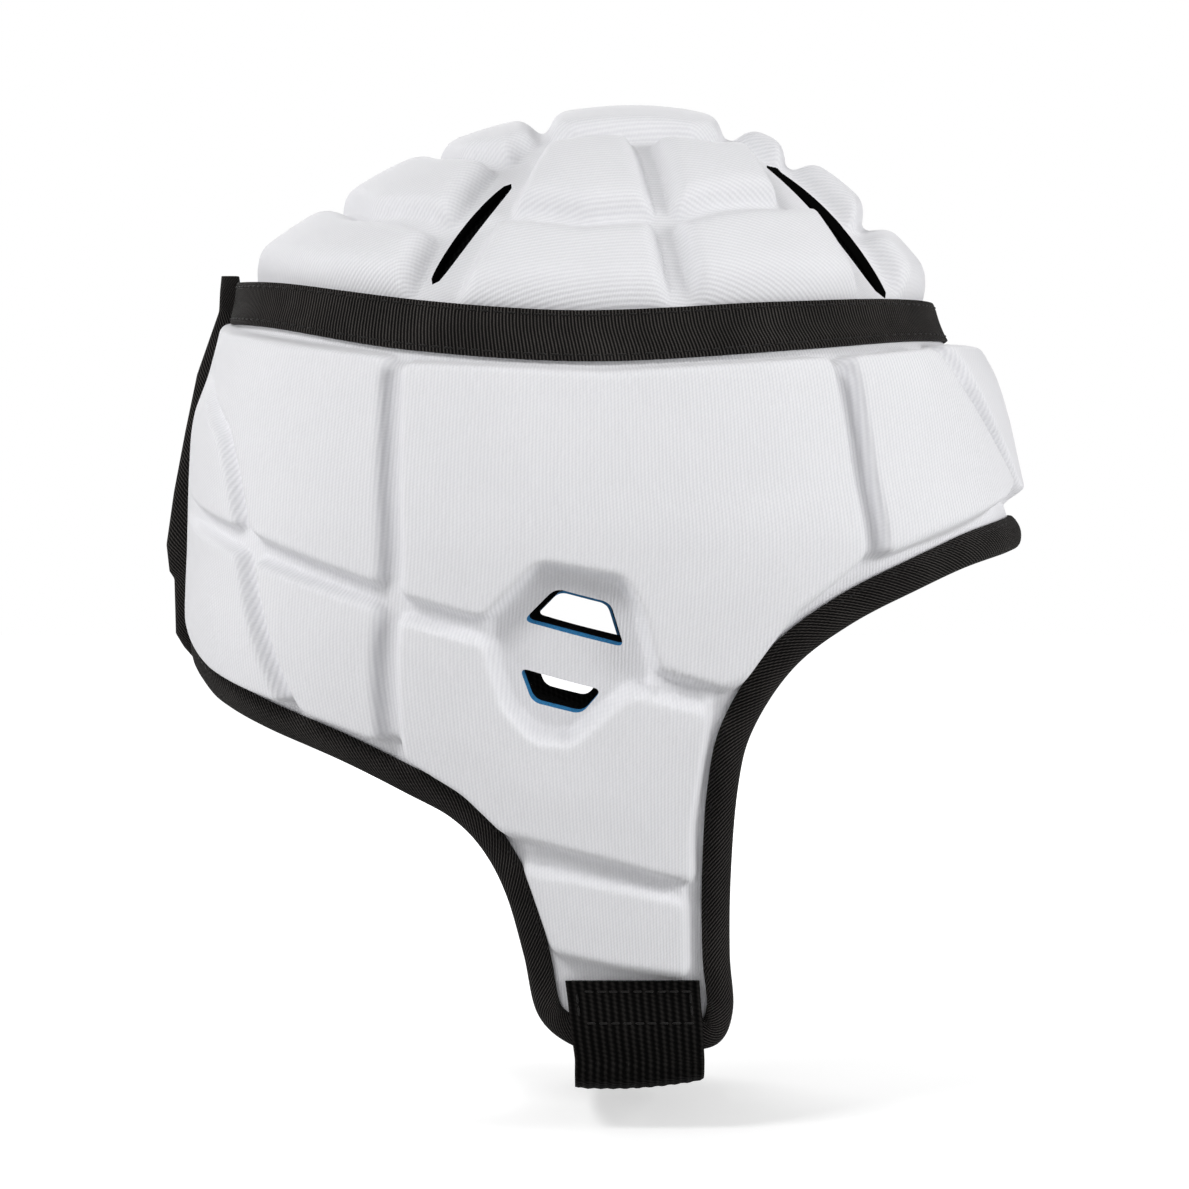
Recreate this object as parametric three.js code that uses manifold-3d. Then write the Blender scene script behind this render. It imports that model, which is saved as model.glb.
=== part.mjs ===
// A soft shell football helmet in the form it has on a head.
// Millimetres. The wearer faces +X, their right side is -Y and up is +Z.
// The origin is where the top of the head meets the lining of the crown.

import * as THREE from 'three';
import { mergeVertices } from 'three/addons/utils/BufferGeometryUtils.js';
import Module from 'manifold-3d';

const wasm = await Module();
wasm.setup();

// Layers, each measured outward from the face that touches the head.
const LINING_OUT = 1.0;
const SHELL_IN = 1.3;
const SHELL_OUT = 3.6;
const CROWN_RISE = 7.3;
const TAPE_GAP = 0.35;

// Pads: how far a corner is cut back, the spacing of points along an edge,
// and the steps of the rounded side.
const PAD_CORNER = 3.6;
const PAD_SPACING = 17;
const WALL_STEPS = [
  { inset: 0, share: 0 },
  { inset: 1.5, share: 0.62 },
  { inset: 5, share: 1 },
];
const CROWN_STEPS = [
  { inset: 0, share: 0 },
  { inset: 1, share: 0.6 },
  { inset: 4.2, share: 1 },
];
const PAD_TOP_STEP = 26;

// Crown: where its top stands, how its meridians bend and how it meets the wall.
const CROWN_TOP_X = 10;
const CROWN_TOP_Z = 0.3;
const MERIDIAN_POWER = 2.12;
const MERIDIAN_FRONT_EXTRA = 0.22;
const MERIDIAN_SIDE_EXTRA = 0.3;
const SEAM_GAP = 0.4;
const CROWN_RINGS = [1, 0.76, 0.5, 0.25];

// Wall: its plan, the level its girth is measured at, and the grid of its plain faces.
const PLAN_POWER = 2.3;
const GIRTH_LEVEL = -90;
const GIRTH_SAMPLES = 720;
const COLUMNS = 32;
const COLUMN_SAMPLES = 500;
const ROWS = 5;

// Tapes and webbing.
const BAND_HALF = 6;
const BAND_THICKNESS = 1.2;
const BAND_FLARE = 0.5;
const BAND_STEPS = 64;
const BINDING_EDGE = 1.6;
const REAR_HALF = 2.6;
const REAR_GAP = 0.35;
const REAR_ROUND = 1.3;
const STRAP_THICKNESS = 1.8;
const STRAP_COLUMNS = 4;
const STRAP_FRONT = 126.3;
const STRAP_REAR = 165;

// Slits of the crown: points along one side.
const SLIT_POINTS = 6;
const CUT_FROM = -2;
const CUT_TO = 9;

// Horizontal sections of the head, from the lowest up.
const HEAD = [
  { z: -250, front: 93, rear: -62, half: 55 },
  { z: -232, front: 95, rear: -66, half: 58 },
  { z: -165, front: 104, rear: -88, half: 69 },
  { z: -133, front: 109.5, rear: -98, half: 74 },
  { z: -105, front: 108.6, rear: -97.6, half: 77.5 },
  { z: -90, front: 104.5, rear: -96.5, half: 77.5 },
  { z: -67, front: 98.6, rear: -93.8, half: 76 },
  { z: -59, front: 94.6, rear: -92.1, half: 74.8 },
  { z: -52, front: 89.4, rear: -90.2, half: 73.2 },
  { z: -42, front: 86.4, rear: -87.8, half: 70 },
  { z: -30, front: 85.4, rear: -87.4, half: 66.5 },
];

// Seam of crown and wall: its height at a girth counted from the middle of the forehead.
const SEAM = [
  { girth: 0, z: -48.4 },
  { girth: 48, z: -49.8 },
  { girth: 90, z: -52.2 },
  { girth: 145, z: -54.8 },
  { girth: 190, z: -51.9 },
  { girth: 240, z: -45 },
  { girth: 290, z: -41.6 },
];

// Lower edge of the wall from the middle of the forehead round the flap to the centre back,
// with the girth on the seam that each place hangs from.
const EDGE = [
  { girth: 0, z: -106.7, hangs: 0 },
  { girth: 24, z: -107.4, hangs: 22 },
  { girth: 49.5, z: -110.8, hangs: 47 },
  { girth: 70.6, z: -117.6, hangs: 69 },
  { girth: 86.9, z: -125.2, hangs: 84 },
  { girth: 100.4, z: -135.6, hangs: 97 },
  { girth: 109.9, z: -150.8, hangs: 108 },
  { girth: 113.5, z: -165.6, hangs: 115 },
  { girth: 115.9, z: -188, hangs: 122 },
  { girth: 116.8, z: -207, hangs: 128 },
  { girth: 116.4, z: -221, hangs: 133 },
  { girth: 121.3, z: -229.6, hangs: 138 },
  { girth: 134, z: -231.5, hangs: 142 },
  { girth: 155, z: -231.5, hangs: 147 },
  { girth: 167, z: -229.6, hangs: 151 },
  { girth: 175.2, z: -222, hangs: 156 },
  { girth: 176.3, z: -207, hangs: 161 },
  { girth: 178.2, z: -191.6, hangs: 167 },
  { girth: 182.3, z: -180.5, hangs: 174 },
  { girth: 188.8, z: -172.8, hangs: 182 },
  { girth: 198.7, z: -167.2, hangs: 194 },
  { girth: 216.7, z: -158.4, hangs: 214 },
  { girth: 236.7, z: -151.2, hangs: 236 },
  { girth: 258.8, z: -144, hangs: 259 },
  { girth: 274, z: -137.8, hangs: 274 },
  { girth: 285, z: -133.4, hangs: 285 },
];

// Pads of the right half of the wall, by the corners of their foot: girth and height.
const WALL_PADS = [
  {
    name: 'front side',
    rise: 7.2,
    foot: [[79.6, -60.2], [50.6, -58.2], [27, -92.5], [35, -97], [69, -106], [80.2, -109.5]],
  },
  {
    name: 'temple',
    rise: 7.4,
    foot: [
      [191.8, -60.8], [142, -63.2], [84.4, -60.2], [84.6, -109], [101.5, -122.5], [113.5, -138],
      [118, -140], [133.5, -135], [137, -120], [141, -112.5], [160, -109], [172.5, -122.5],
      [191.8, -116.8],
    ],
  },
  {
    name: 'rear upper',
    rise: 7.4,
    foot: [
      [196.2, -60], [282, -50], [282, -56.8], [262, -61.5], [241.5, -76.5], [235.5, -89],
      [231.5, -102.4], [196.4, -114.6],
    ],
  },
  {
    name: 'rear middle',
    rise: 7.4,
    foot: [[282, -61.2], [264.5, -65], [245.5, -79], [239.5, -90.5], [236, -101.2], [282, -90.3]],
  },
  {
    name: 'nape',
    rise: 7.4,
    foot: [[282, -95.4], [235.8, -106.6], [224.2, -143], [250, -135.5], [282, -122.4]],
  },
  {
    name: 'behind ear',
    rise: 7.4,
    foot: [[230.6, -108.4], [196.4, -119.6], [200.5, -152.5], [219.8, -145]],
  },
  {
    name: 'jaw',
    rise: 7.4,
    foot: [
      [191.8, -121.8], [172, -127.6], [169, -143.5], [163.5, -151], [154.5, -152], [139, -139.5],
      [121, -144.5], [126.5, -175], [127, -188], [153.5, -180.8], [173.5, -175.6], [183, -165.5],
      [195.8, -156.4],
    ],
  },
  {
    name: 'chin',
    rise: 5.6,
    foot: [[168.4, -184.2], [128.8, -191.8], [130, -211], [150, -208.8], [165.5, -205]],
  },
];

// The one pad across the middle of the forehead.
const FOREHEAD_PAD = {
  rise: 6.8,
  foot: [[44.6, -57.4], [21.6, -95.5], [-21.6, -95.5], [-44.6, -57.4]],
};

// Towards the centre back, between two girths, the pads of the wall are pressed flatter
// by a share of their rise that changes with the height.
const PRESSED_FROM = 226;
const PRESSED_TO = 272;
const PRESSED = [
  { z: -145, share: 0.5 },
  { z: -105, share: 0.45 },
  { z: -85, share: 0.3 },
  { z: -72, share: 0.28 },
  { z: -62, share: 0.52 },
  { z: -45, share: 0.5 },
];

// Pads of the right half of the crown, laid flat about its top: forward and to the right.
const CROWN_PADS = [
  {
    name: 'rear lower',
    foot: [[-101, 3], [-78.5, 3], [-70.3, 39], [-52, 58], [-60.5, 71], [-85, 49.5], [-98, 26]],
  },
  {
    name: 'rear middle',
    foot: [[-76.3, 3], [-51, 3], [-44.5, 26], [-34, 36.5], [-47.5, 55], [-67.5, 38]],
  },
  { name: 'rear upper', foot: [[-48.8, 3], [-21.5, 3], [-22.5, 27], [-30, 34.5], [-42.5, 25.2]] },
  { name: 'top', foot: [[-19.3, 3], [-19.8, 26], [-14, 30.8], [18, 30.8], [24, 24], [25, 3]] },
  { name: 'side upper rear', foot: [[-20.5, 33], [1.5, 33], [7.5, 62], [-12, 63], [-31, 57]] },
  { name: 'side upper front', foot: [[6.5, 33], [20, 32.8], [30, 25.5], [41, 46], [12.5, 62]] },
  {
    name: 'side lower rear',
    foot: [[-35.5, 59.5], [-13, 65.2], [7, 64.2], [13.5, 82.5], [-21, 84], [-47, 76]],
  },
  {
    name: 'side lower front',
    foot: [[13, 64], [40, 49.4], [48.8, 41], [62.5, 53], [50.5, 67], [20, 81.5]],
  },
  { name: 'front upper', foot: [[27.2, 3], [27.8, 12], [40, 18.5], [42, 3]] },
  { name: 'front middle', foot: [[44.2, 3], [43.7, 16], [62, 29], [65.5, 3]] },
  { name: 'front lower', foot: [[67.7, 3], [65.5, 31], [75.5, 38], [84.5, 21], [87, 3]] },
];

// Slits of the right half of the crown, on the same flat pattern, with half of their widest opening.
const CROWN_SLITS = [
  { name: 'rear', half: 1.9, from: [-30.5, 43], to: [-55.5, 71.4] },
  { name: 'front', half: 4, from: [37, 19], to: [75.5, 47] },
];

// Ear vents of the right half of the wall, by their corners: girth and height.
const EAR_VENTS = [
  { name: 'upper', corner: 2, mouth: [[163.5, -122.5], [156, -114.5], [143, -118], [139.8, -129]] },
  { name: 'lower', corner: 2, mouth: [[164.7, -134], [145.5, -139.5], [151, -145.5], [162.5, -142.5]] },
];

// Section of the edge binding: distance in from the lower edge, and distance out from the head.
const BINDING = [
  { inward: 8, out: 3.95 },
  { inward: 8, out: 4.9 },
  { inward: 4.5, out: 6.2 },
  { inward: 1, out: 5.2 },
  { inward: 0, out: 2 },
  { inward: 1, out: -1.2 },
  { inward: 6, out: -1.8 },
  { inward: 6, out: -0.8 },
  { inward: 1.2, out: -0.5 },
  { inward: 1.2, out: 3.95 },
];

// Bound seam at the centre back: its inner and outer edge at each height.
const REAR_SEAM = [
  { z: -34, inner: -92.2, outer: -96.8 },
  { z: -38, inner: -91.6, outer: -97.2 },
  { z: -42.4, inner: -91.6, outer: -97.4 },
  { z: -43.4, inner: -89.6, outer: -97.5 },
  { z: -50, inner: -91, outer: -99.8 },
  { z: -60, inner: -93.7, outer: -103.3 },
  { z: -75, inner: -96.2, outer: -106.4 },
  { z: -91, inner: -97.9, outer: -109.4 },
  { z: -105, inner: -98.9, outer: -111.4 },
  { z: -112, inner: -99.2, outer: -110.6 },
  { z: -114, inner: -99.3, outer: -109.3 },
  { z: -128.5, inner: -99.4, outer: -108.9 },
  { z: -132, inner: -99.3, outer: -106.8 },
  { z: -134.5, inner: -99, outer: -104.6 },
];

// Chin strap on the flap: its distance out from the head at each height.
const STRAP_ON_FLAP = [
  { z: -213, out: 4 },
  { z: -218, out: 4.6 },
  { z: -222, out: 6 },
  { z: -226, out: 6.9 },
  { z: -232, out: 6.9 },
];

// Chin strap below the flap: how far it has come in from the flap, and its height.
const STRAP_BELOW = [
  { inward: 0.2, z: -235.4 },
  { inward: 1.8, z: -238 },
  { inward: 7, z: -239.8 },
  { inward: 20, z: -241.6 },
  { inward: 42, z: -243.6 },
];
const STRAP_LOWEST = -244.6;

// A smooth function of one column of a table, read along another column.
function track(rows, key, field) {
  const at = rows.map((row) => row[key]);
  const to = rows.map((row) => row[field]);
  const last = rows.length - 1;
  const slope = at.map((_, i) => {
    const before = Math.max(i - 1, 0);
    const after = Math.min(i + 1, last);
    return (to[after] - to[before]) / (at[after] - at[before]);
  });
  return (value) => {
    let i = 0;
    while (i < last - 1 && value > at[i + 1]) {
      i += 1;
    }
    const span = at[i + 1] - at[i];
    const t = (value - at[i]) / span;
    const rest = 1 - t;
    return rest * rest * (1 + 2 * t) * to[i] + t * t * (3 - 2 * t) * to[i + 1]
      + t * rest * span * (rest * slope[i] - t * slope[i + 1]);
  };
}

// The value of a table of pairs at a place between two of its rows.
function between(from, to, value) {
  let i = 1;
  while (i < from.length - 1 && from[i] < value) {
    i += 1;
  }
  return THREE.MathUtils.mapLinear(value, from[i - 1], from[i], to[i - 1], to[i]);
}

const headFront = track(HEAD, 'z', 'front');
const headRear = track(HEAD, 'z', 'rear');
const headHalf = track(HEAD, 'z', 'half');
const seamHeight = track(SEAM, 'girth', 'z');
const pressedShare = track(PRESSED, 'z', 'share');

// A place on the head: a rounded plan section, turned from straight ahead to the right.
function headPoint(turn, z) {
  const middle = (headFront(z) + headRear(z)) / 2;
  const reach = (headFront(z) - headRear(z)) / 2;
  const ahead = Math.cos(turn);
  const right = Math.sin(turn);
  const power = 2 / PLAN_POWER;
  return new THREE.Vector3(
    middle + reach * Math.sign(ahead) * Math.abs(ahead) ** power,
    -headHalf(z) * Math.sign(right) * Math.abs(right) ** power,
    z,
  );
}

const TURNS = Array.from({ length: GIRTH_SAMPLES + 1 }, (_, i) => (Math.PI * i) / GIRTH_SAMPLES);
const GIRTHS = [0];
TURNS.slice(1).forEach((turn, i) => {
  const step = headPoint(turn, GIRTH_LEVEL).distanceTo(headPoint(TURNS[i], GIRTH_LEVEL));
  GIRTHS.push(GIRTHS[i] + step);
});
const HALF_GIRTH = GIRTHS[GIRTH_SAMPLES];
const WALL_END = HALF_GIRTH - REAR_HALF - REAR_GAP;

// The direction straight out of a surface that is a function of a flat place.
function outwardAt(surface, flat) {
  const step = 0.5;
  const along = new THREE.Vector2(step, 0);
  const across = new THREE.Vector2(0, step);
  const first = surface(flat.clone().add(along)).sub(surface(flat.clone().sub(along)));
  const second = surface(flat.clone().add(across)).sub(surface(flat.clone().sub(across)));
  return second.cross(first).normalize();
}

// The wall on the head: girth, positive to the right, and height.
function wallOnHead(flat) {
  const turn = Math.sign(flat.x) * between(GIRTHS, TURNS, Math.abs(flat.x));
  return headPoint(turn, flat.y);
}

function wallPoint(flat, out) {
  return wallOnHead(flat).addScaledVector(outwardAt(wallOnHead, flat), out);
}

function rimPoint(girth) {
  return wallOnHead(new THREE.Vector2(girth, seamHeight(Math.abs(girth))));
}

const RIM_BEARINGS = GIRTHS.map((girth) => {
  const rim = rimPoint(girth);
  return Math.atan2(-rim.y, rim.x - CROWN_TOP_X);
});

// One meridian of the crown: its rim, its span and drop, and its length laid flat.
function meridian(bearing) {
  const rim = rimPoint(Math.sign(bearing) * between(RIM_BEARINGS, GIRTHS, Math.abs(bearing)));
  const span = Math.hypot(rim.x - CROWN_TOP_X, rim.y);
  const steep = (CROWN_TOP_Z - rim.z) / span;
  const length = span * (1 + (2 * steep ** 2) / 3 - 0.4 * steep ** 4);
  const stretch = length / span - 1;
  return { rim, length, stretch };
}

// The crown on the head: a flat pattern about its top, forward and to the right.
function crownOnHead(flat) {
  const bearing = Math.atan2(flat.y, flat.x);
  const { rim, length, stretch } = meridian(bearing);
  const target = (flat.length() * (1 + stretch)) / length;
  let share = Math.min(target, 1);
  for (let i = 0; i < 8; i += 1) {
    share -= (share * (1 + stretch * share ** 2) - target) / (1 + 3 * stretch * share ** 2);
  }
  const power = MERIDIAN_POWER + MERIDIAN_FRONT_EXTRA * Math.cos(bearing)
    + MERIDIAN_SIDE_EXTRA * Math.sin(bearing) ** 2;
  return new THREE.Vector3(
    CROWN_TOP_X + (rim.x - CROWN_TOP_X) * share,
    rim.y * share,
    CROWN_TOP_Z + (rim.z - CROWN_TOP_Z) * share ** power,
  );
}

function crownPoint(flat, out) {
  return crownOnHead(flat).addScaledVector(outwardAt(crownOnHead, flat), out);
}

// The place on the crown's flat pattern that lies a distance in from the rim.
function insideRim(girth, inset) {
  const rim = rimPoint(girth);
  const bearing = Math.atan2(-rim.y, rim.x - CROWN_TOP_X);
  const reach = meridian(bearing).length - inset;
  return new THREE.Vector2(Math.cos(bearing) * reach, Math.sin(bearing) * reach);
}

function mirrored(flats, axis) {
  const sides = axis === 'x' ? [-1, 1] : [1, -1];
  return flats.map((flat) => new THREE.Vector2(flat.x * sides[0], flat.y * sides[1])).reverse();
}

// A closed outline along corners, each cut off, with points no further apart than the spacing.
function softLoop(corners, cutBack, spacing) {
  const points = corners.map(([x, y]) => new THREE.Vector2(x, y));
  const cuts = points.map((corner, i) => {
    const before = points[(i + points.length - 1) % points.length];
    const after = points[(i + 1) % points.length];
    const cut = (other) => {
      const length = corner.distanceTo(other);
      return corner.clone().lerp(other, Math.min(cutBack, 0.42 * length) / length);
    };
    return [cut(before), cut(after)];
  });
  return cuts.flatMap((pair, i) => {
    const end = pair[1];
    const next = cuts[(i + 1) % cuts.length][0];
    const steps = Math.max(1, Math.ceil(end.distanceTo(next) / spacing));
    const straight = Array.from({ length: steps - 1 }, (_, k) => (
      end.clone().lerp(next, (k + 1) / steps)
    ));
    return [...pair, ...straight];
  });
}

function middleOf(loop) {
  const area = THREE.ShapeUtils.area(loop);
  const sum = new THREE.Vector2();
  loop.forEach((a, i) => {
    const b = loop[(i + 1) % loop.length];
    sum.addScaledVector(a.clone().add(b), a.cross(b) / (6 * area));
  });
  return sum;
}

// The same outline drawn in towards its middle, by a distance square to each edge.
function drawnIn(loop, middle, inset) {
  return loop.map((point, i) => {
    const before = loop[(i + loop.length - 1) % loop.length];
    const after = loop[(i + 1) % loop.length];
    const along = after.clone().sub(before).normalize();
    const ray = point.clone().sub(middle);
    const reach = ray.length();
    const lean = Math.max(Math.abs(ray.cross(along)) / reach, 0.4);
    return middle.clone().addScaledVector(ray, 1 - Math.min(inset / lean, 0.62 * reach) / reach);
  });
}

function strip(first, second, closed) {
  const count = closed ? first.length : first.length - 1;
  return Array.from({ length: count }, (_, i) => {
    const next = (i + 1) % first.length;
    return [[first[i], first[next], second[next]], [first[i], second[next], second[i]]];
  }).flat();
}

function fan(loop, tip) {
  return loop.map((point, i) => [point, loop[(i + 1) % loop.length], tip]);
}

function turned(faces) {
  return faces.map(([a, b, c]) => [a, c, b]);
}

// A pad on its foot, anticlockwise on the flat pattern: rounded side, then rings up to its middle.
function padFaces(loop, rise, steps, place) {
  const middle = middleOf(loop);
  const rings = steps.map((step) => (
    drawnIn(loop, middle, step.inset).map((flat) => place(flat, SHELL_OUT + rise * step.share))
  ));
  const crest = drawnIn(loop, middle, steps[steps.length - 1].inset);
  const widest = Math.max(...crest.map((flat) => flat.distanceTo(middle)));
  const inner = Math.ceil(widest / PAD_TOP_STEP);
  for (let k = inner - 1; k > 0; k -= 1) {
    rings.push(crest.map((flat) => place(middle.clone().lerp(flat, k / inner), SHELL_OUT + rise)));
  }
  const sides = rings.slice(1).flatMap((ring, i) => strip(rings[i], ring, true));
  return [...sides, ...fan(rings[rings.length - 1], place(middle, SHELL_OUT + rise))];
}

// Swaps the side that two triangles share wherever the other diagonal makes rounder ones.
function rounder(points, faces) {
  const angle = (tip, a, b) => {
    const first = points[a].clone().sub(points[tip]);
    const second = points[b].clone().sub(points[tip]);
    return Math.abs(Math.atan2(first.cross(second), first.dot(second)));
  };
  let swaps = 1;
  for (let pass = 0; pass < 60 && swaps > 0; pass += 1) {
    swaps = 0;
    const owners = new Map();
    const moved = new Set();
    faces.forEach((face, f) => {
      face.forEach((a, i) => {
        const b = face[(i + 1) % 3];
        const tip = face[(i + 2) % 3];
        const other = owners.get(`${b},${a}`);
        owners.set(`${a},${b}`, { f, tip });
        if (!other || moved.has(f) || moved.has(other.f)) {
          return;
        }
        if (angle(tip, a, b) + angle(other.tip, a, b) > Math.PI + 1e-6) {
          faces[f] = [tip, a, other.tip];
          faces[other.f] = [other.tip, b, tip];
          moved.add(f);
          moved.add(other.f);
          swaps += 1;
        }
      });
    });
  }
  return faces;
}

// The floor between pads: the outline of a panel less the foot of each pad.
function floorFaces(outline, loops, place) {
  const points = [outline, ...loops].flat();
  const plain = THREE.ShapeUtils.triangulateShape(outline, loops);
  const area = plain.reduce((sum, face) => sum + THREE.ShapeUtils.area(face.map((i) => points[i])), 0);
  const facing = area > 0 ? plain : turned(plain);
  const lifted = points.map((flat) => place(flat, SHELL_OUT));
  return rounder(points, facing).map((face) => face.map((i) => lifted[i]));
}

// Triangles to one closed solid.
function solid(faces) {
  const geometry = new THREE.BufferGeometry();
  const numbers = faces.flat().flatMap((point) => point.toArray());
  geometry.setAttribute('position', new THREE.Float32BufferAttribute(numbers, 3));
  const merged = mergeVertices(geometry, 1e-4);
  return new wasm.Manifold(new wasm.Mesh({
    numProp: 3,
    vertProperties: new Float32Array(merged.attributes.position.array),
    triVerts: new Uint32Array(merged.index.array),
  }));
}

// A closed slab between two grids of the same size, the first one facing out.
function slab(outer, inner) {
  const last = outer.length - 1;
  const edge = (grid) => [
    ...grid[0],
    ...grid.slice(1).map((row) => row[row.length - 1]),
    ...grid[last].slice(0, -1).reverse(),
    ...grid.slice(1, last).map((row) => row[0]).reverse(),
  ];
  const skin = (grid) => grid.slice(1).flatMap((row, i) => strip(grid[i], row, false));
  return solid([...skin(outer), ...turned(skin(inner)), ...strip(edge(inner), edge(outer), true)]);
}

// The faces of sections along a path, each with the same number of points round.
function swept(sections, capFaces) {
  const last = sections.length - 1;
  const skin = sections.slice(1).flatMap((section, i) => strip(sections[i], section, true));
  const cap = (section) => capFaces.map((face) => face.map((i) => section[i]));
  return [...skin, ...turned(cap(sections[0])), ...cap(sections[last])];
}

// Columns of the wall from its left end to its right end: where each hangs and where it ends.
EDGE.forEach((row, i) => {
  row.place = i;
});
const edgeGirth = track(EDGE, 'place', 'girth');
const edgeHeight = track(EDGE, 'place', 'z');
const edgeHangs = track(EDGE, 'place', 'hangs');

function edgePlace(place) {
  const side = Math.sign(place) || 1;
  const at = Math.abs(place);
  return new THREE.Vector2(side * Math.min(edgeGirth(at), WALL_END), edgeHeight(at));
}

// A place a distance in from the lower edge, square to it on the flat pattern.
function insideEdge(place, inset) {
  const here = edgePlace(place);
  const along = edgePlace(place + 0.05).sub(edgePlace(place - 0.05)).normalize();
  const moved = here.addScaledVector(new THREE.Vector2(-along.y, along.x), inset);
  moved.x = THREE.MathUtils.clamp(moved.x, -WALL_END, WALL_END);
  return moved;
}

// Columns are spread evenly by the longer of their step on the seam and half their step on the edge.
const FINE = Array.from({ length: COLUMN_SAMPLES + 1 }, (_, i) => (
  (i / COLUMN_SAMPLES) * (EDGE.length - 1)
));
const SPREAD = [0];
FINE.slice(1).forEach((place, i) => {
  const seamStep = edgeHangs(place) - edgeHangs(FINE[i]);
  const edgeStep = edgePlace(place).distanceTo(edgePlace(FINE[i]));
  SPREAD.push(SPREAD[i] + Math.max(seamStep, edgeStep / 2));
});
const rightPlaces = Array.from({ length: COLUMNS }, (_, i) => (
  between(SPREAD, FINE, ((i + 1) / COLUMNS) * SPREAD[COLUMN_SAMPLES])
));
const PLACES = [...rightPlaces.map((place) => -place).reverse(), 0, ...rightPlaces];
const HANGS = PLACES.map((place) => {
  const side = Math.sign(place) || 1;
  return side * Math.min(edgeHangs(Math.abs(place)), WALL_END);
});
const wallColumns = PLACES.map((place, i) => {
  const top = new THREE.Vector2(HANGS[i], seamHeight(Math.abs(HANGS[i])) - SEAM_GAP);
  const foot = insideEdge(place, BINDING_EDGE);
  return Array.from({ length: ROWS + 1 }, (_, k) => top.clone().lerp(foot, k / ROWS));
});
const wallRows = Array.from({ length: ROWS + 1 }, (_, k) => wallColumns.map((column) => column[k]));

function onWall(out) {
  return wallRows.map((row) => row.map((flat) => wallPoint(flat, out)));
}

// The wall: a quilted face, a plain inner face and the cut edge between them.
const wallOutline = [
  ...wallRows[ROWS],
  ...wallColumns[2 * COLUMNS].slice(0, -1).reverse(),
  ...wallRows[0].slice(0, -1).reverse(),
  ...wallColumns[0].slice(1, -1),
];
const wallPad = ({ rise, foot }) => ({ rise, loop: softLoop(foot, PAD_CORNER, PAD_SPACING) });
const rightWallPads = WALL_PADS.map(wallPad);
const wallPads = [
  ...rightWallPads,
  ...rightWallPads.map((pad) => ({ rise: pad.rise, loop: mirrored(pad.loop, 'x') })),
  wallPad(FOREHEAD_PAD),
];
wallPads.forEach((pad) => {
  if (THREE.ShapeUtils.area(pad.loop) < 0) {
    pad.loop.reverse();
  }
});

function wallPadPoint(flat, out) {
  const back = THREE.MathUtils.smoothstep(Math.abs(flat.x), PRESSED_FROM, PRESSED_TO);
  return wallPoint(flat, SHELL_OUT + (out - SHELL_OUT) * (1 - back * pressedShare(flat.y)));
}

function ventCutter(vent, side) {
  const loop = softLoop(vent.mouth, vent.corner, PAD_SPACING);
  const right = THREE.ShapeUtils.area(loop) < 0 ? loop.reverse() : loop;
  const mouth = side > 0 ? right : mirrored(right, 'x');
  return cutter(mouth, wallPoint);
}

// A plug through a panel, on an outline that runs anticlockwise on the flat pattern.
function cutter(loop, place) {
  const middle = middleOf(loop);
  const low = loop.map((flat) => place(flat, CUT_FROM));
  const high = loop.map((flat) => place(flat, CUT_TO));
  return solid([
    ...turned(fan(high, place(middle, CUT_TO))),
    ...fan(low, place(middle, CUT_FROM)),
    ...strip(high, low, true),
  ]);
}

const ventCutters = [1, -1].flatMap((side) => EAR_VENTS.map((vent) => ventCutter(vent, side)));

function makeWall() {
  const floor = floorFaces(wallOutline, wallPads.map((pad) => pad.loop), wallPoint);
  const pads = wallPads.flatMap((pad) => padFaces(pad.loop, pad.rise, WALL_STEPS, wallPadPoint));
  const inner = onWall(SHELL_IN);
  const plain = inner.slice(1).flatMap((row, k) => strip(inner[k], row, false));
  const rim = strip(
    wallOutline.map((flat) => wallPoint(flat, SHELL_OUT)),
    wallOutline.map((flat) => wallPoint(flat, SHELL_IN)),
    true,
  );
  const body = solid([...turned(floor), ...turned(pads), ...turned(plain), ...rim]);
  return ventCutters.reduce((rest, plug) => rest.subtract(plug), body);
}

function makeWallLining() {
  const body = slab(onWall(LINING_OUT), onWall(0));
  return ventCutters.reduce((rest, plug) => rest.subtract(plug), body);
}

// The crown: a quilted face, a plain inner face of rings, and slits cut through.
const crownOutline = HANGS.map((girth) => insideRim(girth, SEAM_GAP));

function makeCrown() {
  const right = CROWN_PADS.map((pad) => softLoop(pad.foot, PAD_CORNER, PAD_SPACING));
  const loops = [...right, ...right.map((loop) => mirrored(loop, 'y'))];
  loops.forEach((loop) => {
    if (THREE.ShapeUtils.area(loop) < 0) {
      loop.reverse();
    }
  });
  const floor = floorFaces(crownOutline, loops, crownPoint);
  const pads = loops.flatMap((loop) => padFaces(loop, CROWN_RISE, CROWN_STEPS, crownPoint));
  const rim = strip(
    crownOutline.map((flat) => crownPoint(flat, SHELL_OUT)),
    crownOutline.map((flat) => crownPoint(flat, SHELL_IN)),
    true,
  );
  const body = solid([...turned(floor), ...turned(pads), ...crownRings(SHELL_IN), ...rim]);
  const cuts = [1, -1].flatMap((side) => CROWN_SLITS.map((slit) => slitCutter(slit, side)));
  return cuts.reduce((rest, plug) => rest.subtract(plug), body);
}

function crownRings(out) {
  const rings = CROWN_RINGS.map((share) => (
    crownOutline.map((flat) => crownPoint(flat.clone().multiplyScalar(share), out))
  ));
  const sides = rings.slice(1).flatMap((ring, i) => strip(rings[i], ring, true));
  return [...sides, ...fan(rings[rings.length - 1], crownPoint(new THREE.Vector2(), out))];
}

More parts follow.
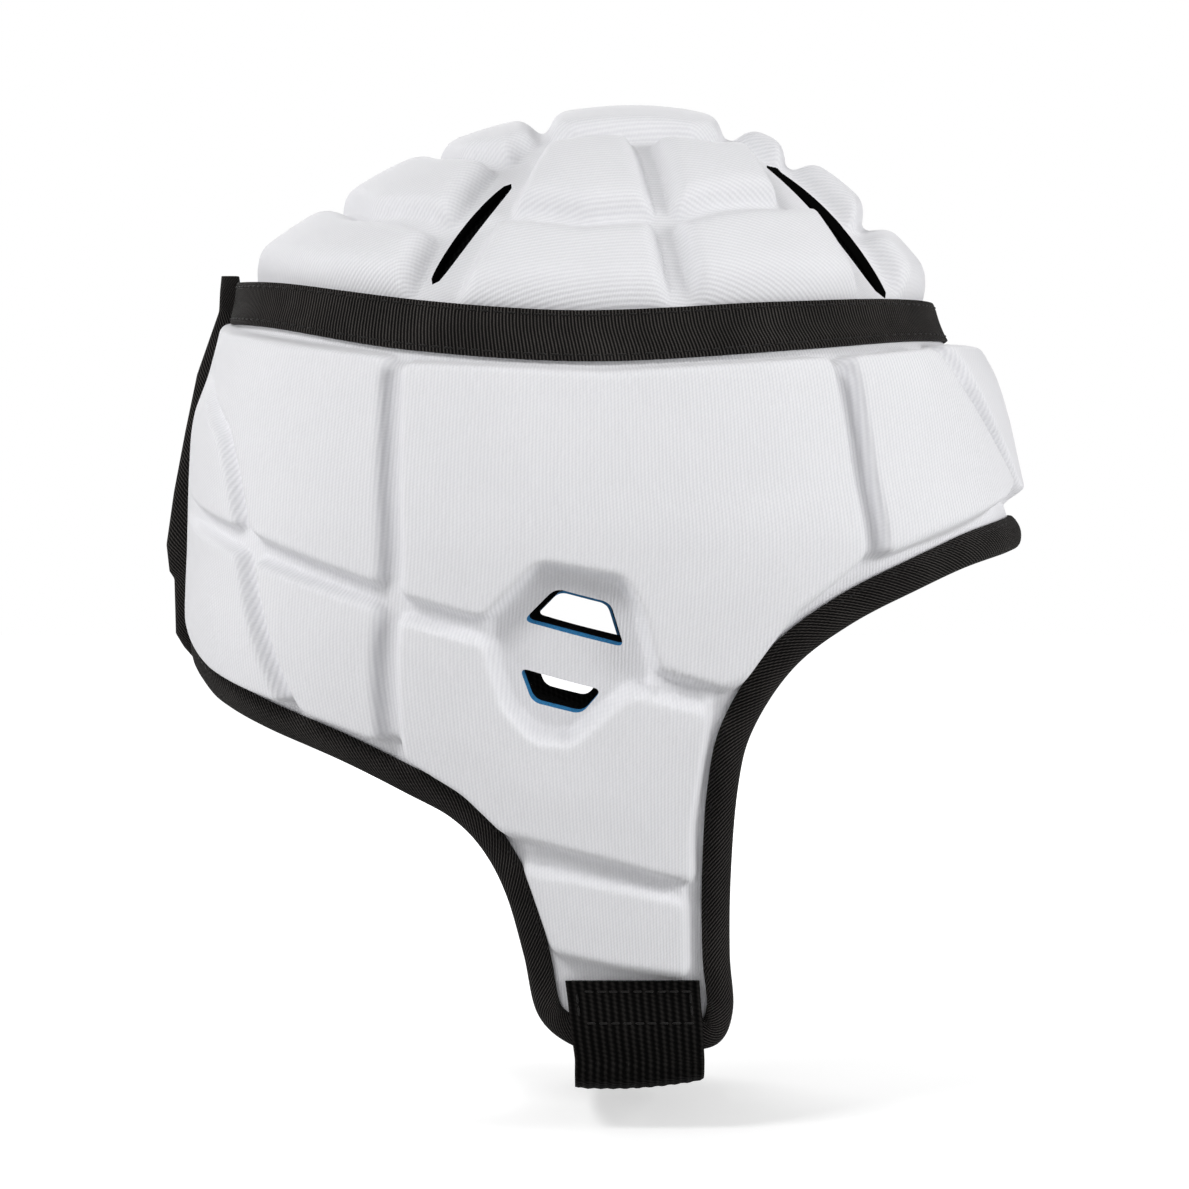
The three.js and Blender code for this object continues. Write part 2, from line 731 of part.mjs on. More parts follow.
// A slit opens from both ends to its middle.
function slitCutter(slit, side) {
  const from = new THREE.Vector2(slit.from[0], side * slit.from[1]);
  const to = new THREE.Vector2(slit.to[0], side * slit.to[1]);
  const along = to.clone().sub(from).normalize();
  const aside = new THREE.Vector2(-along.y, along.x);
  const edge = (way) => Array.from({ length: SLIT_POINTS }, (_, i) => {
    const t = i / SLIT_POINTS;
    const open = way * slit.half * Math.sin(Math.PI * t);
    const place = way < 0 ? from.clone().lerp(to, t) : to.clone().lerp(from, t);
    return place.addScaledVector(aside, open);
  });
  return cutter([...edge(-1), ...edge(1)], crownPoint);
}

function makeCrownLining() {
  const rim = strip(
    crownOutline.map((flat) => crownPoint(flat, LINING_OUT)),
    crownOutline.map((flat) => crownPoint(flat, 0)),
    true,
  );
  return solid([...turned(crownRings(LINING_OUT)), ...crownRings(0), ...rim]);
}

// The band stands upright over the seam, as high above it as below, its lower edge on the pads.
function makeBand() {
  const girths = Array.from({ length: BAND_STEPS + 1 }, (_, i) => (
    WALL_END * ((2 * i) / BAND_STEPS - 1)
  ));
  const rows = [
    { up: BAND_HALF, flare: 0 },
    { up: 0, flare: 0 },
    { up: -BAND_HALF, flare: BAND_FLARE },
  ];
  const face = (out) => rows.map(({ up, flare }) => girths.map((girth) => (
    wallPoint(new THREE.Vector2(girth, seamHeight(Math.abs(girth)) + up), out + flare)
  )));
  const inside = SHELL_OUT + TAPE_GAP;
  return slab(face(inside + BAND_THICKNESS), face(inside));
}

function makeBinding() {
  const sections = PLACES.map((place) => (
    BINDING.map(({ inward, out }) => wallPoint(insideEdge(place, inward), out))
  ));
  const flats = BINDING.map(({ inward, out }) => new THREE.Vector2(inward, out));
  return solid(turned(swept(sections, THREE.ShapeUtils.triangulateShape(flats, []))));
}

function makeRearBinding() {
  const outlines = REAR_SEAM.map(({ inner, outer }) => [
    new THREE.Vector2(inner, REAR_HALF),
    new THREE.Vector2(outer + REAR_ROUND, REAR_HALF),
    new THREE.Vector2(outer, REAR_HALF - REAR_ROUND),
    new THREE.Vector2(outer, -REAR_HALF + REAR_ROUND),
    new THREE.Vector2(outer + REAR_ROUND, -REAR_HALF),
    new THREE.Vector2(inner, -REAR_HALF),
  ]);
  const sections = REAR_SEAM.map(({ z }, i) => (
    outlines[i].map((flat) => new THREE.Vector3(flat.x, flat.y, z))
  ));
  return solid(turned(swept(sections, THREE.ShapeUtils.triangulateShape(outlines[0], []))));
}

// The chin strap: down the flap, under the chin and up the other flap.
function makeChinStrap() {
  const girths = Array.from({ length: STRAP_COLUMNS }, (_, j) => (
    THREE.MathUtils.lerp(STRAP_FRONT, STRAP_REAR, j / (STRAP_COLUMNS - 1))
  ));
  const onFlap = STRAP_ON_FLAP.map(({ z, out }) => (
    girths.map((girth) => wallPoint(new THREE.Vector2(girth, z), out + STRAP_THICKNESS / 2))
  ));
  const leave = onFlap[onFlap.length - 1];
  const below = STRAP_BELOW.map(({ inward, z }) => (
    leave.map((point) => new THREE.Vector3(point.x, point.y + inward, z))
  ));
  const lowest = leave.map((point) => new THREE.Vector3(point.x, 0, STRAP_LOWEST));
  const opposite = (point) => new THREE.Vector3(point.x, -point.y, point.z);
  const right = [...onFlap, ...below];
  const left = right.map((row) => row.map(opposite)).reverse();
  const rows = [...right, lowest, ...left];
  const shifted = (out) => rows.map((row, i) => row.map((point, j) => {
    const next = rows[Math.min(i + 1, rows.length - 1)][j];
    const before = rows[Math.max(i - 1, 0)][j];
    const ahead = row[Math.max(j - 1, 0)].clone().sub(row[Math.min(j + 1, row.length - 1)]);
    const face = next.clone().sub(before).cross(ahead).normalize();
    return point.clone().addScaledVector(face, out);
  }));
  return slab(shifted(STRAP_THICKNESS / 2), shifted(-STRAP_THICKNESS / 2));
}

const KNIT = { color: 0xe6e6e8, roughness: 0.85, metalness: 0 };
const LINING = { color: 0x17181a, roughness: 0.9, metalness: 0 };
const TAPE = { color: 0x1c1c1f, roughness: 0.75, metalness: 0 };
const WEBBING = { color: 0x191a1c, roughness: 0.7, metalness: 0 };

const PIECES = [
  { name: 'crown', make: makeCrown, look: KNIT },
  { name: 'wall', make: makeWall, look: KNIT },
  { name: 'crown_lining', make: makeCrownLining, look: LINING },
  { name: 'wall_lining', make: makeWallLining, look: LINING },
  { name: 'crown_band', make: makeBand, look: TAPE },
  { name: 'edge_binding', make: makeBinding, look: TAPE },
  { name: 'rear_binding', make: makeRearBinding, look: TAPE },
  { name: 'chin_strap', make: makeChinStrap, look: WEBBING },
];

function toGeometry(body) {
  const { numProp, vertProperties, triVerts } = body.getMesh();
  const geometry = new THREE.BufferGeometry();
  const vertices = new THREE.InterleavedBuffer(vertProperties, numProp);
  geometry.setAttribute('position', new THREE.InterleavedBufferAttribute(vertices, 3, 0));
  geometry.setIndex(new THREE.BufferAttribute(triVerts, 1));
  const plain = geometry.toNonIndexed();
  plain.computeVertexNormals();
  return plain;
}

const helmet = new THREE.Group();
helmet.name = 'soft_shell_helmet';
PIECES.forEach(({ name, make, look }) => {
  const mesh = new THREE.Mesh(toGeometry(make()), new THREE.MeshStandardMaterial(look));
  mesh.name = name;
  helmet.add(mesh);
});

export default helmet;
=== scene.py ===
import math

import bpy
import numpy as np
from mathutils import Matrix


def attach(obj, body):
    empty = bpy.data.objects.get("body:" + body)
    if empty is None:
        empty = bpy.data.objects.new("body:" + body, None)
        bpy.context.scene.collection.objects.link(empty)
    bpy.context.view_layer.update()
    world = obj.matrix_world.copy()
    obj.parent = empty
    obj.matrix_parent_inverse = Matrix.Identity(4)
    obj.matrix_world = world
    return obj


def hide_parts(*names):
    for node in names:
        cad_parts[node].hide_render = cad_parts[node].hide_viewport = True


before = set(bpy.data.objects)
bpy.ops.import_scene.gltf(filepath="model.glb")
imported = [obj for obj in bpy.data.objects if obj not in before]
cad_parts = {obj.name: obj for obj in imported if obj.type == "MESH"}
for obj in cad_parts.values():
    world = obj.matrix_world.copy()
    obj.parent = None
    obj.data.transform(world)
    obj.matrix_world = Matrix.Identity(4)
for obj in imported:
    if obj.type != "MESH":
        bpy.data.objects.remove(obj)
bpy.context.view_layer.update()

bl_info = {
    "name": "Soft shell helmet",
    "version": (1, 0, 0),
    "blender": (4, 5, 0),
    "location": "3D View > Sidebar > Helmet",
    "description": "Builds the knit, foam, tapes and webbing of a soft shell football helmet",
    "category": "Add Mesh",
}

# Lengths in the tables and formulas are millimetres; meshes are made in metres.
# The wearer faces +X, their right side is -Y and up is +Z.
MM = 0.001
CLOTH_UV = "cloth"
SHARP_ANGLE = math.radians(62)


def columns(names, rows):
    """A table as a dictionary from the name of each column to its numbers."""
    values = np.array(rows, dtype=float)
    return {name: values[:, i] for i, name in enumerate(names.split())}


# Layers, measured outward from the face that touches the head.
LINING_OUT = 1.0
LINING_WAVE = 0.05
SHELL_IN = 1.3
SHELL_OUT = 3.6
TAPE_OUT = 3.95
TAPE_THICKNESS = 1.25

# The crown tape stands off a little more towards its lower edge. Its stitches lie at a share
# of its half width, in a furrow.
TAPE_FLARE = 0.15
STITCH_LINE = 0.78
STITCH_FURROW = 0.3

# The crown: where its top stands, and how its meridians bend.
CROWN_TOP_X = 10.0
CROWN_TOP_Z = 0.3
MERIDIAN_POWER = 2.12
MERIDIAN_FRONT_EXTRA = 0.22
MERIDIAN_SIDE_EXTRA = 0.3
SEAM_GAP = 0.4

# The wall: its plan and the level its girth is measured at.
PLAN_POWER = 2.3
GIRTH_LEVEL = -90.0
REAR_HALF = 2.6
REAR_LAP = 0.3
BINDING_EDGE = 1.6

# Level sections of the head, from the lowest up.
HEAD = columns("z front rear half", [
    (-250, 93, -62, 55),
    (-232, 95, -66, 58),
    (-165, 104, -88, 69),
    (-133, 109.5, -98, 74),
    (-105, 108.6, -97.6, 77.5),
    (-90, 104.5, -96.5, 77.5),
    (-67, 98.6, -93.8, 76),
    (-59, 94.6, -92.1, 74.8),
    (-52, 89.4, -90.2, 73.2),
    (-42, 86.4, -87.8, 70),
    (-30, 85.4, -87.4, 66.5),
])

# Seam of crown and wall: its height at a girth counted from the middle of the forehead.
SEAM = columns("girth z", [
    (0, -48.4), (48, -49.8), (90, -52.2), (145, -54.8), (190, -51.9), (240, -45), (290, -41.6),
])

# Lower edge of the wall from the forehead round the flap to the centre back,
# with the girth on the seam that each place hangs from.
EDGE = columns("place girth z hangs", [
    (0, 0, -106.7, 0),
    (1, 24, -107.4, 22),
    (2, 49.5, -110.8, 47),
    (3, 70.6, -117.6, 69),
    (4, 86.9, -125.2, 84),
    (5, 100.4, -135.6, 97),
    (6, 109.9, -150.8, 108),
    (7, 113.5, -165.6, 117),
    (8, 115.9, -188, 125),
    (9, 116.8, -207, 131),
    (10, 116.4, -221, 135.5),
    (11, 121.3, -229.6, 139),
    (12, 134, -231.5, 142.5),
    (13, 155, -231.5, 146.5),
    (14, 167, -229.6, 149.5),
    (15, 175.2, -222, 152.5),
    (16, 176.3, -207, 156),
    (17, 178.2, -191.6, 161),
    (18, 182.3, -180.5, 168),
    (19, 188.8, -172.8, 178),
    (20, 198.7, -167.2, 192),
    (21, 216.7, -158.4, 214),
    (22, 236.7, -151.2, 236),
    (23, 258.8, -144, 259),
    (24, 274, -137.8, 274),
    (25, 286, -133, 286),
])
# From the first of these places to the second the wall's end straightens along the rear seam.
STRAIGHT_FROM = 23.5
STRAIGHT_TO = 25.0

# Pads of the right half of the wall, by the corners of their foot: girth and height.
WALL_PADS = [
    {"name": "front side", "rise": 7.2, "foot": [
        (79.6, -61), (50.6, -59.2), (27.4, -91.6), (35, -95.6), (69, -104.2), (80.2, -107.8)]},
    {"name": "temple", "rise": 7.4, "foot": [
        (191.8, -61.4), (142, -63.8), (84.4, -61), (84.6, -107.8), (102.2, -121.6),
        (113.5, -138), (118, -140), (133.5, -135), (137, -120), (141, -112.5), (160, -109),
        (172.5, -122.5), (191.8, -116.8)]},
    {"name": "rear upper", "rise": 7.4, "foot": [
        (196.2, -60), (300, -46.5), (300, -52.6), (262, -61.5), (241.5, -76.5), (235.5, -89),
        (231.5, -102.4), (196.4, -114.6)]},
    {"name": "rear middle", "rise": 7.4, "foot": [
        (300, -57.4), (264.5, -65), (245.5, -79), (239.5, -90.5), (236, -101.2), (300, -86)]},
    {"name": "nape", "rise": 7.4, "foot": [
        (300, -90.8), (235.6, -106.4), (223.8, -143.2), (250, -135.5), (300, -117)]},
    {"name": "behind ear", "rise": 7.4, "foot": [
        (230.6, -108.4), (196.4, -119.6), (200.5, -152.5), (219.8, -145)]},
    {"name": "jaw", "rise": 7.4, "foot": [
        (191.8, -121.8), (172, -127.6), (169, -143.5), (163.5, -151), (154.5, -152),
        (139, -139.5), (121, -144.5), (126.5, -175), (127, -188), (153.5, -180.8),
        (174.5, -175.4), (183, -165.5), (195.8, -156.4)]},
    {"name": "chin", "rise": 5.6, "foot": [
        (171, -183.4), (128.8, -191.8), (130, -211.5), (150, -209), (166.5, -205.5)]},
]
FOREHEAD_PAD = {"name": "forehead", "rise": 6.8, "foot": [
    (44.4, -58.3), (21.6, -94), (-21.6, -94), (-44.4, -58.3)]}
# Towards the centre back, between two girths, the pads of the wall are pressed flatter
# by a share of their rise that changes with the height, and their grooves run out.
PRESSED_FROM = 226.0
PRESSED_TO = 272.0
FLAT_FROM = 256.0
FLAT_TO = 278.0
PRESSED = columns("z share", [
    (-145, 0.5), (-105, 0.45), (-85, 0.3), (-72, 0.28), (-62, 0.52), (-45, 0.5),
])
# Near the seam the pads of the crown go down under the tape, between these insets.
TUCK_FROM = 4.0
TUCK_TO = 13.0
# Cell of the rasters that hold the pads' height, how far from its sides a pad's crest is
# reached, the half width of a groove that counts as one, and the share of a pad's height
# that its cloth is uneven by.
RASTER = 0.5
CREST_REACH = 14.0
GROOVE_REACH = 4.5
UNEVEN_SHARE = 0.03

# Pads of the right half of the crown, laid flat about its top: forward and to the right.
CROWN_PADS = [
    {"name": "rear lower", "foot": [
        (-112, 3), (-78.5, 3), (-70.3, 39), (-52, 58), (-64, 76), (-91, 53), (-107, 27)]},
    {"name": "rear middle", "foot": [
        (-76.3, 3), (-51, 3), (-44.5, 26), (-34, 36.5), (-47.5, 55), (-67.5, 38)]},
    {"name": "rear upper", "foot": [
        (-48.8, 3), (-21.5, 3), (-22.5, 27), (-30, 34.5), (-42.5, 25.2)]},
    {"name": "top", "foot": [
        (-19.3, 3), (-19.8, 26), (-14, 30.8), (18, 30.8), (24, 24), (25, 3)]},
    {"name": "side upper rear", "foot": [
        (-20.5, 33), (1.5, 33), (7.5, 62), (-12, 63), (-31, 57)]},
    {"name": "side upper front", "foot": [
        (6.5, 33), (20, 32.8), (30, 25.5), (41, 46), (12.5, 62)]},
    {"name": "side lower rear", "foot": [
        (-35.5, 59.5), (-13, 65.2), (7, 64.2), (14.5, 94), (-21, 96), (-52, 84)]},
    {"name": "side lower front", "foot": [
        (13, 64), (40, 49.4), (48.8, 41), (68, 58), (56, 74), (22, 92)]},
    {"name": "front upper", "foot": [(27.2, 3), (27.8, 12), (40, 18.5), (42, 3)]},
    {"name": "front middle", "foot": [(44.2, 3), (43.7, 16), (62, 29), (65.5, 3)]},
    {"name": "front lower", "foot": [
        (67.7, 3), (65.5, 31), (80, 41), (90, 22), (93, 3)]},
]

# Slits of the right half of the crown, on the same flat pattern, with half their opening.
CROWN_SLITS = [
    {"name": "rear", "half": 1.9, "from": (-30.5, 43), "to": (-55.5, 71.4)},
    {"name": "front", "half": 4, "from": (37, 19), "to": (75.5, 47)},
]
SLIT_POWER = 0.3
SLIT_LEVELS = (-1.0, 2.0, 9.0)

# Ear vents of the right half of the wall, by their corners: girth and height.
EAR_VENTS = [
    {"name": "upper", "mouth": [
        (163.5, -122.5), (156, -114.5), (143, -118), (139.8, -129)]},
    {"name": "lower", "mouth": [
        (164.7, -134), (145.5, -139.5), (151, -145.5), (162.5, -142.5)]},
]
LEFT_VENT_DROP = 2.4
VENT_CORNER = 2.2
VENT_LEVELS = (-2.0, 2.2, 12.0)
VENT_SLANT = (0.36, -0.4)

# Section of the edge binding: distance in from the lower edge, and out from the head.
BINDING = np.array([
    (8.2, 3.9), (8.2, 5.0), (4.6, 6.5), (0.9, 5.4), (-0.3, 2), (0.8, -1.3),
    (6.2, -1.9), (6.2, -0.7), (1.2, -0.4), (1.2, 3.9),
])
BINDING_STITCH_IN = 6.9
BINDING_STITCH_OUT = 5.25

# Bound seam at the centre back: its inner and outer edge at each height.
REAR_SEAM = columns("z inner outer", [
    (-134.5, -99, -104.6), (-132, -99.3, -106.8), (-128.5, -99.4, -108.9),
    (-114, -99.3, -109.3), (-112, -99.2, -110.6), (-105, -98.9, -111.4),
    (-91, -97.9, -109.4), (-75, -96.2, -106.4), (-60, -93.7, -103.3), (-50, -91, -99.8),
    (-43.4, -89.6, -97.5), (-42.4, -91.6, -97.4), (-38, -91.6, -97.2), (-34, -92.2, -96.8),
])

# Chin strap on the flap: distance out from the head at each height.
STRAP_ON_FLAP = [
    (-213, 4), (-218, 4.6), (-222, 6), (-226, 6.9), (-232, 6.9),
]
# Chin strap below the flap: how far it has come in from the flap, and its height.
STRAP_BELOW = [
    (0.2, -235.4), (1.8, -238), (7, -239.8), (20, -241.6), (42, -243.6),
]
STRAP_LOWEST = -244.6
STRAP_THICKNESS = 1.8
STRAP_FRONT = 126.3
STRAP_REAR = 165.0
STRAP_RIB = 3.2
STRAP_STITCH = 2.4

# The view: width of the picture and its middle in pixels, one pixel on the middle plane of the
# helmet, and where the camera stands.
PICTURE = 1189
VIEW_COLUMN = 587
VIEW_ROW = 551
PIXEL = 0.265
SENSOR = 36
CAMERA_AWAY = 1100.0
CAMERA_HEIGHT = -106.7

# The studio, in metres and watts, and the strength of its even light beside the lamps.
STUDIO_GLOW = 0.25
LAMPS = [
    {"name": "key", "place": (-0.8, -1.0, 0.9), "aim": (0, 0, -0.1), "size": 0.5, "power": 13},
    {"name": "fill", "place": (1.4, -0.6, 0.2), "aim": (0, 0, -0.08), "size": 0.9, "power": 17},
    {"name": "rear", "place": (-1.3, -0.45, 0.1), "aim": (0, 0, -0.1), "size": 0.8, "power": 5.5},
    {"name": "far", "place": (-0.3, 1.4, 0.7), "aim": (0, 0, -0.1), "size": 1.0, "power": 16},
]
FLOOR_HEIGHT = -0.252
FLOOR_HALF = 6.0


class HelmetSizes(bpy.types.PropertyGroup):
    """Sizes that change how full the pads are and how the tapes look"""
    crown_rise: bpy.props.FloatProperty(
        name="Crown pad rise", description="Height of a crown pad over its groove",
        default=0.0066, min=0.002, max=0.012, unit="LENGTH")
    crown_side: bpy.props.FloatProperty(
        name="Crown pad side", description="Width of the rounded side of a crown pad",
        default=0.0066, min=0.002, max=0.02, unit="LENGTH")
    wall_side: bpy.props.FloatProperty(
        name="Wall pad side", description="Width of the rounded side of a wall pad",
        default=0.0022, min=0.001, max=0.02, unit="LENGTH")
    pad_corner: bpy.props.FloatProperty(
        name="Pad corner", description="How far the corner of a pad is rounded back",
        default=0.0026, min=0.001, max=0.02, unit="LENGTH")
    slit_open: bpy.props.FloatProperty(
        name="Slit opening", description="Share of their own width that the slits open by",
        default=1.25, min=0.3, max=1.5, subtype="FACTOR")
    band_half: bpy.props.FloatProperty(
        name="Band half width", description="Half of the width of the crown tape",
        default=0.006, min=0.003, max=0.012, unit="LENGTH")
    stitch: bpy.props.FloatProperty(
        name="Stitch", description="Length of one stitch on the tapes",
        default=0.0026, min=0.001, max=0.006, unit="LENGTH")


class HelmetColours(bpy.types.PropertyGroup):
    """Colours of the cloths"""
    knit: bpy.props.FloatVectorProperty(
        name="Knit", description="Outer knit of the shell", subtype="COLOR",
        default=(0.77, 0.77, 0.79), min=0, max=1)
    # Painted shade: a darker, cooler copy of the knit colour, laid between the knit's ribs.
    knit_rib_shade: bpy.props.FloatVectorProperty(
        name="Knit rib shade", description="Painted shade of the outer knit between its ribs",
        subtype="COLOR", default=(0.685, 0.685, 0.71), min=0, max=1)
    foam: bpy.props.FloatVectorProperty(
        name="Foam", description="Cut foam in the ear vents", subtype="COLOR",
        default=(0.02, 0.19, 0.42), min=0, max=1)
    lining: bpy.props.FloatVectorProperty(
        name="Lining", description="Inner lining", subtype="COLOR",
        default=(0.006, 0.006, 0.006), min=0, max=1)
    tape: bpy.props.FloatVectorProperty(
        name="Tape", description="Crown tape and bindings", subtype="COLOR",
        default=(0.0058, 0.0053, 0.005), min=0, max=1)
    webbing: bpy.props.FloatVectorProperty(
        name="Webbing", description="Chin strap", subtype="COLOR",
        default=(0.004, 0.0037, 0.0035), min=0, max=1)


def track(table, key, field, at):
    """A smooth curve through two columns of a table.

    Cubic pieces, each with the slope at a row taken between the rows beside it.
    """
    x, y = table[key], table[field]
    ends = np.diff(y) / np.diff(x)
    slope = np.concatenate([ends[:1], (y[2:] - y[:-2]) / (x[2:] - x[:-2]), ends[-1:]])
    at = np.asarray(at, dtype=float)
    i = np.clip(np.searchsorted(x, at) - 1, 0, len(x) - 2)
    span = x[i + 1] - x[i]
    t = (at - x[i]) / span
    rest = 1 - t
    return (rest**2 * (1 + 2 * t) * y[i] + t**2 * (3 - 2 * t) * y[i + 1]
            + t * rest * span * (rest * slope[i] - t * slope[i + 1]))


def eased(value, start, end):
    """From 0 to 1 between two values, level at both."""
    t = np.clip((value - start) / (end - start), 0, 1)
    return t**2 * (3 - 2 * t)


def signed_power(value, power):
    """A power of the size of a value, with the value's sign."""
    return np.sign(value) * np.abs(value) ** power


def head_point(turn, z):
    """A place on the head: a level oval of power 2.3, turned from ahead to the right."""
    front, rear, half = (track(HEAD, "z", side, z) for side in ("front", "rear", "half"))
    ahead = signed_power(np.cos(turn), 2 / PLAN_POWER)
    right = signed_power(np.sin(turn), 2 / PLAN_POWER)
    return np.stack([
        (front + rear) / 2 + (front - rear) / 2 * ahead, -half * right, z + 0 * turn], -1)


def run_of(points):
    """Length along each row of points, from its first: the sum of the steps so far."""
    steps = np.linalg.norm(np.diff(points, axis=0), axis=-1)
    return np.concatenate([np.zeros((1, *steps.shape[1:])), np.cumsum(steps, 0)])


TURNS = np.linspace(0, np.pi, 721)
GIRTHS = run_of(head_point(TURNS, GIRTH_LEVEL))
WALL_END = GIRTHS[-1] - REAR_HALF + REAR_LAP


def seam_height(girth):
    """Height of the seam at a girth, the same to the right and to the left."""
    return track(SEAM, "girth", "z", np.abs(girth))


def wall_on_head(girth, z):
    """The wall on the head: its girth, positive to the right, and its height."""
    turn = np.sign(girth) * np.interp(np.abs(girth), GIRTHS, TURNS)
    return head_point(turn, z)


def rim_point(girth):
    """The place on the head where the seam lies at a girth."""
    return wall_on_head(girth, seam_height(girth))


RIM = rim_point(GIRTHS)
RIM_BEARINGS = np.arctan2(-RIM[:, 1], RIM[:, 0] - CROWN_TOP_X)


def meridian(bearing):
    """One meridian of the crown: its rim, its length laid flat, and its stretch."""
    girth = np.sign(bearing) * np.interp(np.abs(bearing), RIM_BEARINGS, GIRTHS)
    rim = rim_point(girth)
    span = np.hypot(rim[..., 0] - CROWN_TOP_X, rim[..., 1])
    steep = (CROWN_TOP_Z - rim[..., 2]) / span
    length = span * (1 + 2 * steep**2 / 3 - 0.4 * steep**4)
    return rim, length, length / span - 1


def crown_on_head(ahead, right):
    """The crown on the head, from its flat pattern about the top.

    A place goes out along its meridian in step with its flat distance, and down by
    a power of that share of the way to the rim.
    """
    bearing = np.arctan2(right, ahead)
    rim, length, stretch = meridian(bearing)
    target = np.hypot(ahead, right) * (1 + stretch) / length
    share = np.minimum(target, 1)
    for _ in range(8):
        share = share - ((share * (1 + stretch * share**2) - target)
                         / (1 + 3 * stretch * share**2))
    power = (MERIDIAN_POWER + MERIDIAN_FRONT_EXTRA * np.cos(bearing)
             + MERIDIAN_SIDE_EXTRA * np.sin(bearing) ** 2)
    return np.stack([
        CROWN_TOP_X + (rim[..., 0] - CROWN_TOP_X) * share,
        rim[..., 1] * share,
        CROWN_TOP_Z + (rim[..., 2] - CROWN_TOP_Z) * np.abs(share) ** power], -1)


def unit(vectors):
    """Vectors divided by their length."""
    return vectors / np.linalg.norm(vectors, axis=-1, keepdims=True)


def outward(surface, a, b, step=0.5):
    """The direction straight out of a surface: the cross product of its two slopes."""
    first = surface(a + step, b) - surface(a - step, b)
    second = surface(a, b + step) - surface(a, b - step)
    return unit(np.cross(second, first))


def lifted(surface, a, b, out):
    """A place of a surface moved straight out by a distance."""
    return surface(a, b) + outward(surface, a, b) * np.asarray(out)[..., None]


def inside_rim(girth, inset):
    """The place on the crown's flat pattern that lies a distance in from the rim."""
    rim = rim_point(girth)
    bearing = np.arctan2(-rim[..., 1], rim[..., 0] - CROWN_TOP_X)
    reach = meridian(bearing)[1] - inset
    return reach * np.cos(bearing), reach * np.sin(bearing)


def edge_place(place):
    """The lower edge of the wall at a place counted along its table, as girth and height."""
    at = np.abs(place)
    girth = np.minimum(track(EDGE, "place", "girth", at), WALL_END)
    return np.where(place < 0, -girth, girth), track(EDGE, "place", "z", at)


def inside_edge(place, inset):
    """A place a distance in from the lower edge, square to it on the flat pattern."""
    girth, z = edge_place(place)
    after, before = edge_place(place + 0.05), edge_place(place - 0.05)
    along_girth, along_z = after[0] - before[0], after[1] - before[1]
    length = np.hypot(along_girth, along_z)
    moved = np.clip(girth - along_z / length * inset, -WALL_END, WALL_END)
    return moved, z + along_girth / length * inset


def even_places(count):
    """Places along the lower edge, spread by the longer of the step on the seam and half
    the step on the edge."""
    fine = np.linspace(0, EDGE["place"][-1], 1201)
    girth, z = edge_place(fine)
    seam_step = np.abs(np.diff(track(EDGE, "place", "hangs", fine)))
    edge_step = np.hypot(np.diff(girth), np.diff(z))
    spread = np.concatenate([[0], np.cumsum(np.maximum(seam_step, edge_step / 2))])
    right = np.interp(np.linspace(0, spread[-1], count + 1), spread, fine)
    return np.concatenate([-right[:0:-1], right])


def wall_grid(columns_each_side, rows):
    """Girth and height over the wall: columns from the seam down to the lower edge, that
    turn towards their place on it by the cube of the way down."""
    places = even_places(columns_each_side)
    hang = np.minimum(track(EDGE, "place", "hangs", np.abs(places)), WALL_END)
    hang = np.where(places < 0, -hang, hang)
    top_z = seam_height(hang) - SEAM_GAP
    foot_girth, foot_z = inside_edge(places, BINDING_EDGE)
    foot_girth = foot_girth + (WALL_END - foot_girth[-1]) * np.sign(places) * eased(
        np.abs(places), STRAIGHT_FROM, STRAIGHT_TO)
    t = np.linspace(0, 1, rows + 1)[:, None]
    return hang + (foot_girth - hang) * t**3, top_z + (foot_z - top_z) * t


def crown_grid(columns_round, rows):
    """Forward, right and distance in from the rim over the crown: rings on its flat pattern,
    each an even share of the way from the top to the rim."""
    girths = np.linspace(-GIRTHS[-1], GIRTHS[-1], columns_round + 1)[:-1]
    rim_x, rim_y = inside_rim(girths, SEAM_GAP)
    share = np.linspace(0, 1, rows)[:, None]
    return share * rim_x, share * rim_y, (1 - share) * np.hypot(rim_x, rim_y)


def rounded(corners, back, points=8):
    """A closed outline along corners, each corner a parabola between two places set back
    from it along its sides."""
    corner = np.array(corners, dtype=float)

    def set_back(other):
        side = other - corner
        length = np.linalg.norm(side, axis=1, keepdims=True)
        return corner + side / length * np.minimum(back, 0.46 * length)

    start, end = set_back(np.roll(corner, 1, 0)), set_back(np.roll(corner, -1, 0))
    t = np.linspace(0, 1, points)[None, :, None]
    curve = ((1 - t) ** 2 * start[:, None] + 2 * t * (1 - t) * corner[:, None]
             + t**2 * end[:, None])
    return curve.reshape(-1, 2)


def depth_inside(outline, x, y):
    """How deep each place lies inside a closed outline: the least distance to its sides,
    and less than nothing where a ray to the right crosses an even number of them."""
    nearest = np.full(x.shape, np.inf)
    inside = np.zeros(x.shape, dtype=bool)
    for (ax, ay), (bx, by) in zip(outline, np.roll(outline, -1, 0)):
        side = max((bx - ax) ** 2 + (by - ay) ** 2, 1e-9)
        t = np.clip(((x - ax) * (bx - ax) + (y - ay) * (by - ay)) / side, 0, 1)
        nearest = np.minimum(
            nearest, (x - ax - t * (bx - ax)) ** 2 + (y - ay - t * (by - ay)) ** 2)
        crosses = (ay > y) != (by > y)
        rise = by - ay if by != ay else 1.0
        inside ^= crosses & (x < ax + (y - ay) / rise * (bx - ax))
    return np.where(inside, 1, -1) * np.sqrt(nearest)


